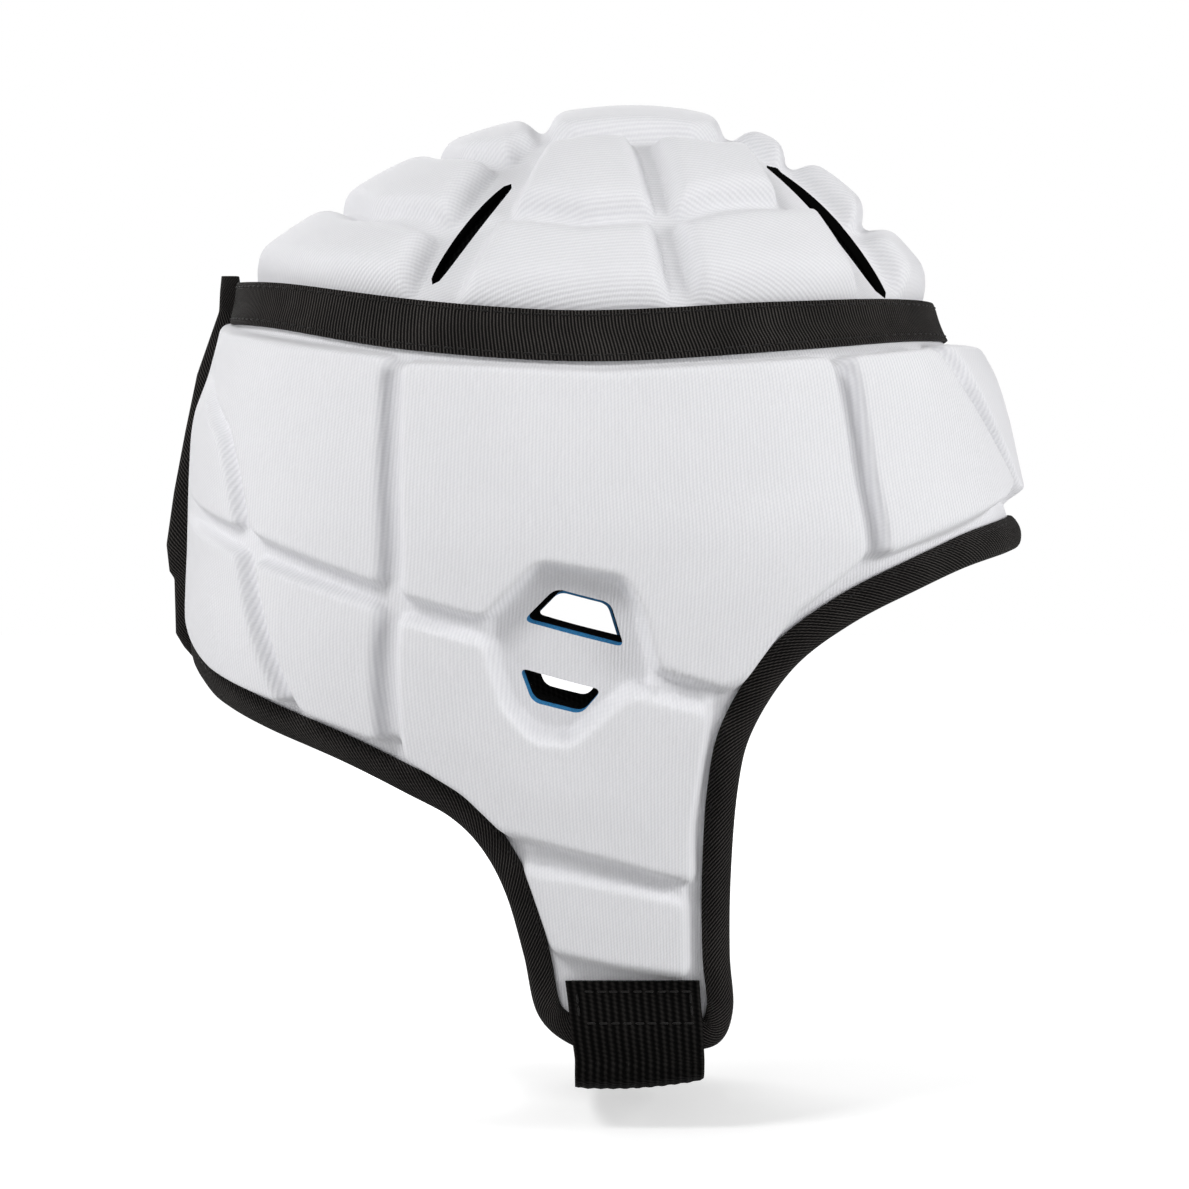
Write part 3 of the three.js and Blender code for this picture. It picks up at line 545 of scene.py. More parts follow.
def softened(field, spread):
    """A raster blurred along both ways by a bell curve of that spread in cells."""
    reach = int(3 * spread) + 1
    bell = np.exp(-0.5 * (np.arange(-reach, reach + 1) / spread) ** 2)
    bell /= bell.sum()
    for axis in (0, 1):
        wide = np.pad(field, [(reach, reach) if a == axis else (0, 0) for a in (0, 1)],
                      mode="edge")
        count = field.shape[axis]
        field = sum(weight * np.take(wide, np.arange(k, k + count), axis=axis)
                    for k, weight in enumerate(bell))
    return field


def spread_out(field, reach, pick):
    """Each cell as the greatest, or the least, of the cells round it."""
    cells = int(reach / RASTER)
    wide = np.pad(field, cells, mode="edge")
    steps = range(-cells, cells + 1, 2)
    made = field
    for i, j in ((i, j) for i in steps for j in steps if i * i + j * j <= cells * cells):
        made = pick(made, wide[cells + i:cells + i + field.shape[0],
                               cells + j:cells + j + field.shape[1]])
    return made


def pad_relief(pads, low, high, side, corner, full, crest, soft, filled, grown):
    """Height of the pads over the floor of a panel, on a raster of its flat pattern.

    Inside a foot the height is the rise times one less a power of what is left of the
    side, and a crest that fills towards the middle is added. The foot is grown a little
    all round, by the fullness of the foam. Grooves between pads are filled to a share of
    the height beside them, read across. All is blurred a little.
    """
    xs = np.arange(low[0], high[0] + RASTER, RASTER)
    ys = np.arange(low[1], high[1] + RASTER, RASTER)
    height = np.zeros((len(xs), len(ys)))
    for pad in pads:
        outline = rounded(pad["foot"], corner)
        first, last = outline.min(0) - 1 - grown, outline.max(0) + 1 + grown
        i = slice(*np.searchsorted(xs, (first[0], last[0])))
        j = slice(*np.searchsorted(ys, (first[1], last[1])))
        x, y = np.meshgrid(xs[i], ys[j], indexing="ij")
        depth = np.maximum(depth_inside(outline, x, y) + grown, 0)
        left = 1 - np.clip(depth / side, 0, 1)
        risen = pad["rise"] * (1 - left**full) + crest * (1 - np.exp(-(depth / CREST_REACH)**2))
        height[i, j] = np.maximum(height[i, j], risen)
    closed = spread_out(spread_out(height, GROOVE_REACH, np.maximum), GROOVE_REACH, np.minimum)
    height = np.maximum(height, filled(xs)[:, None] * closed)
    return {"low": np.array(low), "height": softened(height, soft / RASTER)}


def sampled(relief, x, y):
    """A raster read between its cells by straight lines both ways."""
    height = relief["height"]
    u = np.clip((x - relief["low"][0]) / RASTER, 0, height.shape[0] - 1.001)
    v = np.clip((y - relief["low"][1]) / RASTER, 0, height.shape[1] - 1.001)
    i, j = u.astype(int), v.astype(int)
    s, t = u - i, v - j
    return ((1 - s) * ((1 - t) * height[i, j] + t * height[i, j + 1])
            + s * ((1 - t) * height[i + 1, j] + t * height[i + 1, j + 1]))


def uneven(x, y):
    """Soft unevenness of cloth over foam: a few long waves that cross, from -1 to 1."""
    return (np.sin(x / 9.1 + 1.3 * np.sin(y / 17)) * np.sin(y / 11.7 + 0.8)
            + 0.6 * np.sin((x + y) / 15.3 + 0.4) * np.sin((x - 1.7 * y) / 23)) / 1.6


def mirrored_pads(pads, axis):
    """The same pads on the other half of a flat pattern."""
    way = np.array([-1, 1]) if axis == 0 else np.array([1, -1])
    return [dict(pad, foot=np.array(pad["foot"]) * way) for pad in pads]


def build_mesh(name, points, faces, flat, slots=None):
    """A mesh from points, arrays of faces with equal corners, and a flat place for each
    point. Faces are turned to point out, by the sign of the volume they hold."""
    fans = [np.stack([face[:, 0], face[:, k], face[:, k + 1]], 1)
            for face in faces for k in range(1, face.shape[1] - 1)]
    a, b, c = (points[np.concatenate(fans)[:, k]] for k in range(3))
    if np.einsum("ij,ij->", a, np.cross(b, c)) < 0:
        faces = [face[:, ::-1] for face in faces]
    mesh = bpy.data.meshes.new(name)
    loops = np.concatenate([face.ravel() for face in faces]).astype(np.int32)
    totals = np.concatenate([np.full(len(face), face.shape[1]) for face in faces])
    starts = np.concatenate([[0], np.cumsum(totals)[:-1]]).astype(np.int32)
    mesh.vertices.add(len(points))
    mesh.vertices.foreach_set("co", (points * MM).astype(np.float32).ravel())
    mesh.loops.add(len(loops))
    mesh.loops.foreach_set("vertex_index", loops)
    mesh.polygons.add(len(totals))
    mesh.polygons.foreach_set("loop_start", starts)
    mesh.polygons.foreach_set("use_smooth", np.ones(len(totals), dtype=bool))
    if slots is not None:
        mesh.polygons.foreach_set("material_index", slots)
    layer = mesh.uv_layers.new(name=CLOTH_UV)
    layer.data.foreach_set("uv", (flat[loops] * MM).astype(np.float32).ravel())
    mesh.update(calc_edges=True)
    if mesh.validate(verbose=False):
        raise RuntimeError(f"{name}: the mesh had faults")
    mesh.set_sharp_from_angle(angle=SHARP_ANGLE)
    piece = bpy.data.objects.new(name, mesh)
    bpy.context.scene.collection.objects.link(piece)
    return piece


def wrapped(number):
    """Rows of point numbers with the first number again at the end, so that they close."""
    return np.concatenate([number, number[..., :1]], -1)


def grid_faces(number):
    """Faces of a grid of point numbers, or of many such grids: four neighbours in turn."""
    return np.stack([number[..., :-1, :-1], number[..., :-1, 1:], number[..., 1:, 1:],
                     number[..., 1:, :-1]], -1).reshape(-1, 4)


def slab(name, outer, inner, flat, end_slot=0):
    """A closed sheet between two grids of points, with its four edges.

    Its first and last column, and the edges beside them, have a material slot of their own.
    """
    rows, cols = outer.shape[:2]
    number = np.arange(rows * cols).reshape(rows, cols)
    under = number + rows * cols
    faces = [grid_faces(number), grid_faces(under)[:, ::-1]]
    for top, low in ((number[0], under[0]), (number[:, -1], under[:, -1]),
                     (number[-1, ::-1], under[-1, ::-1]), (number[::-1, 0], under[::-1, 0])):
        faces.append(grid_faces(np.stack([low, top])))
    points = np.concatenate([outer.reshape(-1, 3), inner.reshape(-1, 3)])
    places = flat.reshape(-1, 2)
    column = np.tile(np.arange(cols - 1), rows - 1)
    ends = (column == 0) | (column == cols - 2)
    long_edge, end_edge = np.zeros(cols - 1, dtype=bool), np.ones(rows - 1, dtype=bool)
    slots = np.concatenate([ends, 0 * ends, long_edge, end_edge, long_edge, end_edge])
    return build_mesh(name, points, faces, np.concatenate([places, places]),
                      (slots * end_slot).astype(np.int32))


def dome(name, outer, inner, flat):
    """A closed shell between two caps: rings from a middle place out to a rim.

    The first row of each grid holds that middle place alone, so it is used once.
    """
    rows, cols = outer.shape[:2]
    number = 1 + np.arange((rows - 1) * cols).reshape(rows - 1, cols)
    count = 1 + (rows - 1) * cols

    def skin(ring, tip):
        wide = wrapped(ring)
        tips = np.full(cols, tip)
        return [np.stack([tips, wide[0, :-1], wide[0, 1:]], 1), grid_faces(wide)[:, ::-1]]

    under = [face[:, ::-1] for face in skin(number + count, count)]
    rim = grid_faces(wrapped(np.stack([number[-1] + count, number[-1]])))
    points = np.concatenate([
        outer[0, :1], outer[1:].reshape(-1, 3), inner[0, :1], inner[1:].reshape(-1, 3)])
    places = np.concatenate([flat[0, :1], flat[1:].reshape(-1, 2)])
    faces = [*skin(number, 0), *under, rim]
    return build_mesh(name, points, faces, np.concatenate([places, places]))


def swept(name, rings, flat, slots=None):
    """A closed body of rings of points along a path, with a flat face at each end."""
    rows, cols = rings.shape[:2]
    number = np.arange(rows * cols).reshape(rows, cols)
    faces = [grid_faces(wrapped(number)), number[:1, ::-1], number[-1:]]
    return build_mesh(name, rings.reshape(-1, 3), faces, flat.reshape(-1, 2), slots)


def smooth_loop(section, rounds=2, share=0.24):
    """A closed outline with its corners cut off, over and over."""
    for _ in range(rounds):
        after = np.roll(section, -1, 0)
        section = np.stack([section + (after - section) * share,
                            after + (section - after) * share], 1).reshape(-1, 2)
    return section


def plug(name, outline, surface, levels, slant=(0, 0)):
    """A body that stands through a panel on an outline of its flat pattern.

    It has a ring at each level out from the head, and leans by the slant for each
    millimetre out. Faces under the second level have slot 2, and the others slot 1.
    """
    rings = []
    for out in levels:
        x, y = (outline + np.array(slant) * (out - SHELL_IN)).T
        rings.append(lifted(surface, x, y, out))
    rings = np.stack(rings)
    count = len(outline)
    slots = np.ones(count * (len(levels) - 1) + 2, dtype=np.int32)
    slots[:count] = 2
    return swept(name, rings, np.zeros((*rings.shape[:2], 2)), slots)


def cut(piece, plugs):
    """Takes plugs out of a piece; the cut faces keep the plugs' material number."""
    for tool in plugs:
        change = piece.modifiers.new("cut", "BOOLEAN")
        change.operation = "DIFFERENCE"
        change.solver = "MANIFOLD"
        change.object = tool
    graph = bpy.context.evaluated_depsgraph_get()
    made = bpy.data.meshes.new_from_object(piece.evaluated_get(graph))
    if len(made.polygons) == len(piece.data.polygons):
        raise RuntimeError(f"{piece.name}: nothing was cut")
    piece.modifiers.clear()
    whole, piece.data = piece.data, made
    bpy.data.meshes.remove(whole)
    for tool in plugs:
        body = tool.data
        bpy.data.objects.remove(tool)
        bpy.data.meshes.remove(body)
    made.set_sharp_from_angle(angle=SHARP_ANGLE)


def finish_piece(piece, node, looks):
    """Puts a piece in the frame in place of its plain solid, with its materials."""
    faces = piece.data.polygons
    numbers = np.empty(len(faces), dtype=np.int32)
    faces.foreach_get("material_index", numbers)
    piece.data.materials.clear()
    for look in looks:
        piece.data.materials.append(look)
    faces.foreach_set("material_index", np.minimum(numbers, len(looks) - 1))
    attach(piece, "root")
    if node:
        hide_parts(node)


def add_node(tree, kind, inputs=None, **settings):
    """A shader node with its settings, and its inputs linked or set."""
    made = tree.nodes.new(kind)
    for key, value in settings.items():
        setattr(made, key, value)
    for key, value in (inputs or {}).items():
        if isinstance(value, bpy.types.NodeSocket):
            tree.links.new(value, made.inputs[key])
        else:
            made.inputs[key].default_value = value
    return made


def calc(tree, operation, *values):
    """The result of a Math node."""
    made = add_node(tree, "ShaderNodeMath", dict(enumerate(values)), operation=operation)
    return made.outputs[0]


def cloth_group():
    """The shared cloth effect: ribs across a flat place, cut up by a finer cross rib.

    Height is a raised sine of the place along one way, lessened by a share of the sine
    along the other; the place is shaken a little by noise. Tone is broad mottling.
    """
    tree = bpy.data.node_groups.get("Cloth ribs")
    if tree:
        return tree
    tree = bpy.data.node_groups.new("Cloth ribs", "ShaderNodeTree")
    for name, kind, value in (
            ("Place", "NodeSocketVector", None), ("Slant", "NodeSocketFloat", 0.0),
            ("Rib", "NodeSocketFloat", 0.0009), ("Cross Rib", "NodeSocketFloat", 0.0007),
            ("Cross Share", "NodeSocketFloat", 0.4), ("Shake", "NodeSocketFloat", 0.6),
            ("Mottle Size", "NodeSocketFloat", 60.0)):
        socket = tree.interface.new_socket(name, in_out="INPUT", socket_type=kind)
        if value is not None:
            socket.default_value = value
    for name in ("Height", "Tone"):
        tree.interface.new_socket(name, in_out="OUTPUT", socket_type="NodeSocketFloat")
    given = add_node(tree, "NodeGroupInput").outputs
    place = add_node(tree, "ShaderNodeSeparateXYZ", {0: given["Place"]}).outputs
    shake = add_node(tree, "ShaderNodeTexNoise", {
        "Vector": given["Place"], "Scale": 900.0, "Detail": 2.0}).outputs["Fac"]
    shake = calc(tree, "MULTIPLY", calc(tree, "SUBTRACT", shake, 0.5), given["Shake"])
    slanted = calc(tree, "ADD", place["X"], calc(tree, "MULTIPLY", place["Y"], given["Slant"]))
    turns = calc(tree, "ADD", calc(tree, "DIVIDE", slanted, given["Rib"]), shake)
    ribs = calc(tree, "SINE", calc(tree, "MULTIPLY", turns, 2 * math.pi))
    cross = calc(tree, "DIVIDE", place["Y"], given["Cross Rib"])
    cross = calc(tree, "ADD", cross, calc(tree, "MULTIPLY", turns, 0.5))
    cross = calc(tree, "SINE", calc(tree, "MULTIPLY", cross, 2 * math.pi))
    height = calc(tree, "ADD", ribs, calc(tree, "MULTIPLY", cross, given["Cross Share"]))
    height = calc(tree, "ADD", calc(tree, "MULTIPLY", height, 0.35), 0.5)
    tone = add_node(tree, "ShaderNodeTexNoise", {
        "Vector": given["Place"], "Scale": given["Mottle Size"], "Detail": 4.0,
        "Roughness": 0.6}).outputs["Fac"]
    add_node(tree, "NodeGroupOutput", {"Height": height, "Tone": tone})
    return tree


def new_look(name, colour):
    """An empty material with a plain colour for the viewport, and its node tree."""
    look = bpy.data.materials.new(name)
    look.use_nodes = True
    look.diffuse_color = (*colour, 1)
    look.node_tree.nodes.clear()
    return look, look.node_tree


def two_tones(tree, share, low, high):
    """The colour a share of the way from a low tone to a high one."""
    mix = add_node(tree, "ShaderNodeMix", {
        "Factor": share, "A": (*low, 1), "B": (*high, 1)}, data_type="RGBA")
    return next(socket for socket in mix.outputs if socket.type == "RGBA")


def surface_of(tree, height, strength, depth, inputs):
    """The shader of a material, bumped by a height, with its other inputs."""
    bump = add_node(tree, "ShaderNodeBump", {
        "Height": height, "Strength": strength, "Distance": depth})
    shader = add_node(tree, "ShaderNodeBsdfPrincipled", {
        "Normal": bump.outputs["Normal"], **inputs})
    add_node(tree, "ShaderNodeOutputMaterial", {"Surface": shader.outputs["BSDF"]})


def cloth_material(name, high, low, depth, roughness, gloss, thin=1.0, **pattern):
    """A woven or knitted cloth: two tones of one colour, bumped by its ribs.

    The high tone lies along the rib tops, the more narrowly the higher the power thin is; where
    it is brighter than the cloth's own colour it is a painted highlight. The low tone between the
    ribs is painted shade.
    """
    look, tree = new_look(name, high)
    place = add_node(tree, "ShaderNodeUVMap", uv_map=CLOTH_UV).outputs["UV"]
    group = add_node(tree, "ShaderNodeGroup", node_tree=cloth_group())
    tree.links.new(place, group.inputs["Place"])
    for key, value in pattern.items():
        group.inputs[key.replace("_", " ")].default_value = value
    height, tone = group.outputs["Height"], group.outputs["Tone"]
    # The share of the high tone follows the rib height, for painted highlight on the rib tops and
    # painted shade between them, with random mottling.
    share = calc(tree, "ADD", calc(tree, "MULTIPLY", height, 1.3),
                 calc(tree, "MULTIPLY_ADD", tone, 0.5, -0.4))
    share = calc(tree, "POWER", calc(tree, "MAXIMUM", share, 0.0), thin)
    rough = calc(tree, "ADD", calc(tree, "MULTIPLY", tone, 0.16), roughness - 0.08)
    surface_of(tree, height, 0.8, depth, {
        "Base Color": two_tones(tree, share, low, high), "Roughness": rough,
        "Sheen Weight": gloss, "Sheen Roughness": 0.5, "Specular IOR Level": gloss})
    return look


def foam_material(colour):
    """Cut foam: fine pores as dents and dark specks, the specks painted shade in their hollows.
    """
    look, tree = new_look("Cut foam", colour)
    place = add_node(tree, "ShaderNodeTexCoord").outputs["Object"]
    pores = add_node(tree, "ShaderNodeTexVoronoi", {
        "Vector": place, "Scale": 2200.0}).outputs["Distance"]
    # Painted shade: the pores darker, down to 0.55 of the foam colour.
    share = calc(tree, "MULTIPLY", pores, 1.4)
    surface_of(tree, pores, 0.6, 0.0002, {
        "Base Color": two_tones(tree, share, [0.55 * c for c in colour], colour),
        "Roughness": 0.9})
    return look


def look_of(name):
    """The material of that name, made the first time it is asked for."""
    found = bpy.data.materials.get(name)
    if found:
        return found
    colours = bpy.context.scene.helmet_colours
    # Painted shade: a quarter of the lining, tape and webbing colours, the tone between their
    # ribs.
    painted_rib_shade = {key: [0.25 * c for c in getattr(colours, key)] for key in
           ("lining", "tape", "webbing")}
    makers = {
        "Ribbed knit": lambda: cloth_material(
            name, colours.knit, colours.knit_rib_shade, 0.00012, 0.82, 0.2,
            Slant=0.06, Rib=0.00085, Cross_Rib=0.0008, Cross_Share=0.35, Shake=0.35),
        "Lining": lambda: cloth_material(
            name, colours.lining, painted_rib_shade["lining"], 0.0002, 0.9, 0.0,
            Rib=0.0014, Cross_Rib=0.0014, Cross_Share=0.9, Shake=0.3),
        # Painted highlight: the tape colour times 11 on grosgrain and 10 on twill, the webbing
        # colour times 3.4 and the tape colour times 2.4 on thread, laid along the rib tops.
        "Grosgrain": lambda: cloth_material(
            name, [11 * c for c in colours.tape], painted_rib_shade["tape"], 0.0006, 0.6, 0.03, 2.6,
            Rib=0.00092, Cross_Rib=0.0006, Cross_Share=0.12, Shake=0.2),
        "Twill": lambda: cloth_material(
            name, [10 * c for c in colours.tape], painted_rib_shade["tape"], 0.0005, 0.65, 0.03, 2.6,
            Slant=1.2, Rib=0.0011, Cross_Rib=0.0007, Cross_Share=0.3, Shake=0.25),
        "Webbing": lambda: cloth_material(
            name, [3.4 * c for c in colours.webbing], painted_rib_shade["webbing"], 0.0006, 0.65, 0.02, 2.0,
            Rib=0.0019, Cross_Rib=0.0012, Cross_Share=0.4, Shake=0.15),
        "Thread": lambda: cloth_material(
            name, [2.4 * c for c in colours.tape], colours.tape, 0.00008, 0.5, 0.1,
            Slant=0.8, Rib=0.0004, Cross_Rib=0.0005, Cross_Share=0.2, Shake=0.1),
        "Cut foam": lambda: foam_material(tuple(colours.foam)),
    }
    return makers[name]()


def stitch_row(name, points, normals, length, thick):
    """Stitches along a line: each a short grain of thread lying on the cloth.

    A grain is an oval ring carried along half a sine, so that its ends dip into the
    cloth. One grain is laid at every step of the length along the line.
    """
    run = run_of(points)
    pitch = length * 1.28
    middle = np.arange(0.6 * pitch, run[-1] - 0.5 * pitch, pitch)

    def along(values, at):
        return np.stack([np.interp(at, run, values[:, k]) for k in range(3)], -1)

    centre = along(points, middle)
    way = unit(along(points, middle + 0.3) - along(points, middle - 0.3))
    up = unit(along(normals, middle))
    side = np.cross(way, up)
    t = np.linspace(-1, 1, 7)
    angle = np.linspace(0, 2 * np.pi, 6, endpoint=False)
    swell = np.sqrt(np.clip(1 - t**6, 0.02, 1))[:, None]
    ahead = (t * length / 2)[:, None] + 0 * angle
    aside = swell * np.cos(angle) * thick / 2
    lift = swell * np.sin(angle) * thick / 2 + (0.35 * thick * np.cos(t * np.pi / 2))[:, None]
    grains = (centre[:, None, None] + ahead[None, ..., None] * way[:, None, None]
              + aside[None, ..., None] * side[:, None, None]
              + lift[None, ..., None] * up[:, None, None])
    number = np.arange(grains[..., 0].size).reshape(grains.shape[:3])
    faces = [grid_faces(wrapped(number)), number[:, 0, ::-1], number[:, -1]]
    flat = np.stack([ahead, aside], -1) + 0 * grains[..., :2]
    return build_mesh(name, grains.reshape(-1, 3), faces, flat.reshape(-1, 2))


def joined(name, pieces):
    """Several loose pieces as one object."""
    with bpy.context.temp_override(active_object=pieces[0], selected_editable_objects=pieces):
        bpy.ops.object.join()
    pieces[0].name = name
    return pieces[0]


def vent_plugs():
    """Plugs of the four ear vents, the left ones a little lower than the right ones."""
    sides = [("right", 1, 0.0), ("left", -1, LEFT_VENT_DROP)]
    return [plug(f"{side} {vent['name']} vent",
                 rounded(vent["mouth"], VENT_CORNER, 9) * (way, 1) - (0, drop),
                 wall_on_head, VENT_LEVELS, (VENT_SLANT[0] * way, VENT_SLANT[1]))
            for side, way, drop in sides for vent in EAR_VENTS]


def slit_outline(slit, way, opened):
    """A slit that opens soon from both ends, by a root of a sine."""
    start = np.array(slit["from"]) * (1, way)
    end = np.array(slit["to"]) * (1, way)
    ahead = (end - start) / np.linalg.norm(end - start)
    aside = np.array([-ahead[1], ahead[0]])
    t = np.linspace(0, 1, 25)[:, None]
    open_by = aside * slit["half"] * opened * np.sin(np.pi * t) ** SLIT_POWER
    there = start + (end - start) * t - open_by
    back = end + (start - end) * t + open_by
    return np.concatenate([there[:-1], back[:-1]])


class HELMET_OT_wall(bpy.types.Operator):
    """Builds the padded wall with its ear vents"""
    bl_idname = "helmet.wall"
    bl_label = "Wall"

    def execute(self, context):
        sizes = context.scene.helmet_sizes
        pads = [*WALL_PADS, *mirrored_pads(WALL_PADS, 0), FOREHEAD_PAD]
        relief = pad_relief(
            pads, low=(-292.0, -236.0), high=(292.0, -36.0), side=sizes.wall_side / MM,
            corner=sizes.pad_corner / MM, full=2.0, crest=0.4, soft=0.5,
            filled=lambda across: 0.4 + 0.6 * eased(np.abs(across), FLAT_FROM, FLAT_TO),
            grown=1.1)
        girth, z = wall_grid(430, 190)
        share = track(PRESSED, "z", "share", np.clip(z, PRESSED["z"][0], PRESSED["z"][-1]))
        back = eased(np.abs(girth), PRESSED_FROM, PRESSED_TO)
        rise = sampled(relief, girth, z) * (1 - share * back)
        out = SHELL_OUT + rise * (1 + UNEVEN_SHARE * uneven(girth, z))
        outer = lifted(wall_on_head, girth, z, out)
        inner = lifted(wall_on_head, girth, z, SHELL_IN)
        piece = slab("padded_wall", outer, inner, np.stack([girth, z], -1), end_slot=1)
        cut(piece, vent_plugs())
        finish_piece(piece, "wall",
                     [look_of("Ribbed knit"), look_of("Cut foam"), look_of("Lining")])
        return {"FINISHED"}


class HELMET_OT_crown(bpy.types.Operator):
    """Builds the padded crown with its slits"""
    bl_idname = "helmet.crown"
    bl_label = "Crown"

    def execute(self, context):
        sizes = context.scene.helmet_sizes
        right = [dict(pad, rise=sizes.crown_rise / MM) for pad in CROWN_PADS]
        relief = pad_relief(
            [*right, *mirrored_pads(right, 1)], low=(-116.0, -100.0), high=(104.0, 100.0),
            side=sizes.crown_side / MM, corner=sizes.pad_corner / MM, full=2.7, crest=0.6,
            soft=0.6, filled=lambda across: np.full(across.shape, 0.3), grown=0.6)
        ahead, aside, inset = crown_grid(520, 104)
        tucked = np.clip((inset - TUCK_FROM) / (TUCK_TO - TUCK_FROM), 0, 1)
        rise = sampled(relief, ahead, aside) * tucked * (2 - tucked)
        out = SHELL_OUT + rise * (1 + UNEVEN_SHARE * uneven(ahead, aside))
        outer = lifted(crown_on_head, ahead, aside, out)
        inner = lifted(crown_on_head, ahead, aside, SHELL_IN)
        piece = dome("padded_crown", outer, inner, np.stack([aside, ahead], -1))
        cut(piece, [plug(f"slit {slit['name']} {way}", slit_outline(slit, way, sizes.slit_open),
                         crown_on_head, SLIT_LEVELS)
                    for way in (1, -1) for slit in CROWN_SLITS])
        finish_piece(piece, "crown", [look_of("Ribbed knit"), look_of("Lining")])
        return {"FINISHED"}


def lining_faces(surface, a, b):
    """Both faces of a lining along a surface: even distances out, with a slight wave."""
    return [lifted(surface, a, b, out + LINING_WAVE * uneven(a, b))
            for out in (LINING_OUT - LINING_WAVE, LINING_WAVE)]


class HELMET_OT_linings(bpy.types.Operator):
    """Builds the lining of the wall and the lining of the crown"""
    bl_idname = "helmet.linings"
    bl_label = "Linings"

    def execute(self, context):
        girth, z = wall_grid(140, 72)
        faces = lining_faces(wall_on_head, girth, z)
        wall = slab("wall_inside_cloth", *faces, np.stack([girth, z], -1))
        cut(wall, vent_plugs())
        finish_piece(wall, "wall_lining", [look_of("Lining")])
        ahead, aside, _ = crown_grid(260, 52)
        faces = lining_faces(crown_on_head, ahead, aside)
        crown = dome("crown_inside_cloth", *faces, np.stack([ahead, aside], -1))
        finish_piece(crown, "crown_lining", [look_of("Lining")])
        return {"FINISHED"}


def band_face(girths, across, half, out):
    """A face of the crown tape, upright over the seam, and the way out of it.

    Across runs from -1 above the seam to 1 below it.
    """
    girth, v = np.meshgrid(girths, across)
    z = seam_height(girth) - v * half
    way = outward(wall_on_head, girth, z)
    return wall_on_head(girth, z) + way * (out + TAPE_FLARE * np.maximum(v, 0))[..., None], way


class HELMET_OT_band(bpy.types.Operator):
    """Builds the crown tape over the seam, with its two rows of stitches"""
    bl_idname = "helmet.band"
    bl_label = "Crown tape"

    def execute(self, context):
        sizes = context.scene.helmet_sizes
        half = sizes.band_half / MM
        girths = np.linspace(-WALL_END, WALL_END, 577)
        across = np.linspace(-1, 1, 25)
        beside = np.abs(across[:, None])
        wave = 0.12 * uneven(girths * 1.7, across[:, None] * 20)
        thin = 0.35 * beside**8 + STITCH_FURROW * np.exp(-((beside - STITCH_LINE) / 0.05) ** 2)
        outer, _ = band_face(girths, across, half, TAPE_OUT + TAPE_THICKNESS - thin + wave)
        inner, _ = band_face(girths, across, half, TAPE_OUT)
        flat = np.stack(np.meshgrid(girths, across * half), -1)
        piece = slab("crown_tape", outer, inner, flat)
        finish_piece(piece, "crown_band", [look_of("Grosgrain")])
        rows = []
        for v in (-STITCH_LINE, STITCH_LINE):
            line, way = band_face(girths, np.array([v]), half,
                                  TAPE_OUT + TAPE_THICKNESS - STITCH_FURROW)
            rows.append(stitch_row("tape_stitches", line[0], way[0], sizes.stitch / MM, 0.5))
        finish_piece(joined("tape_stitches", rows), None, [look_of("Thread")])
        return {"FINISHED"}


class HELMET_OT_bindings(bpy.types.Operator):
    """Builds the binding of the lower edge and the bound seam at the centre back"""
    bl_idname = "helmet.bindings"
    bl_label = "Bindings"

    def execute(self, context):
        sizes = context.scene.helmet_sizes
        places = even_places(470)
        section = smooth_loop(BINDING)
        place = np.repeat(places[:, None], len(section), 1)
        girth, z = inside_edge(place, section[:, 0])
        run = run_of(wall_on_head(*inside_edge(places, 2.0)))
        puff = 0.18 * np.sin(run / 4.3 + 1.5 * np.sin(run / 13)) * np.sin(run / 9.7)
        shell = np.clip((section[:, 1] - 4) / 2.4, 0, 1)
        rings = lifted(wall_on_head, girth, z, section[:, 1] + puff[:, None] * shell)
        around = run_of(np.concatenate([section, section[:1]]))[:-1]
        flat = np.stack([run[:, None] + 0 * girth, around + 0 * girth], -1)
        edge = swept("edge_tape", rings, flat)
        finish_piece(edge, "edge_binding", [look_of("Twill")])
        stitched = inside_edge(places, BINDING_STITCH_IN)
        way = outward(wall_on_head, *stitched)
        line = wall_on_head(*stitched) + way * BINDING_STITCH_OUT
        row = stitch_row("edge_stitches", line, way, sizes.stitch / MM, 0.45)
        finish_piece(row, None, [look_of("Thread")])

        z = np.linspace(REAR_SEAM["z"][0], REAR_SEAM["z"][-1], 180)
        inner = np.interp(z, REAR_SEAM["z"], REAR_SEAM["inner"])
        outer = np.interp(z, REAR_SEAM["z"], REAR_SEAM["outer"])
        angle = np.linspace(0, 2 * np.pi, 36, endpoint=False)
        thin = REAR_HALF + 0.1 * np.sin(z / 3.1)
        x = ((inner + outer) / 2)[:, None] + ((inner - outer) / 2)[:, None] * signed_power(
            np.cos(angle), 0.45)
        y = thin[:, None] * signed_power(np.sin(angle), 0.6)
        rings = np.stack([x, y, z[:, None] + 0 * x], -1)
        around = run_of(np.stack([x[90], y[90]], -1))
        flat = np.stack([z[:, None] + 0 * x, around + 0 * x], -1)
        fin = swept("rear_tape", rings, flat)
        finish_piece(fin, "rear_binding", [look_of("Twill")])
        return {"FINISHED"}


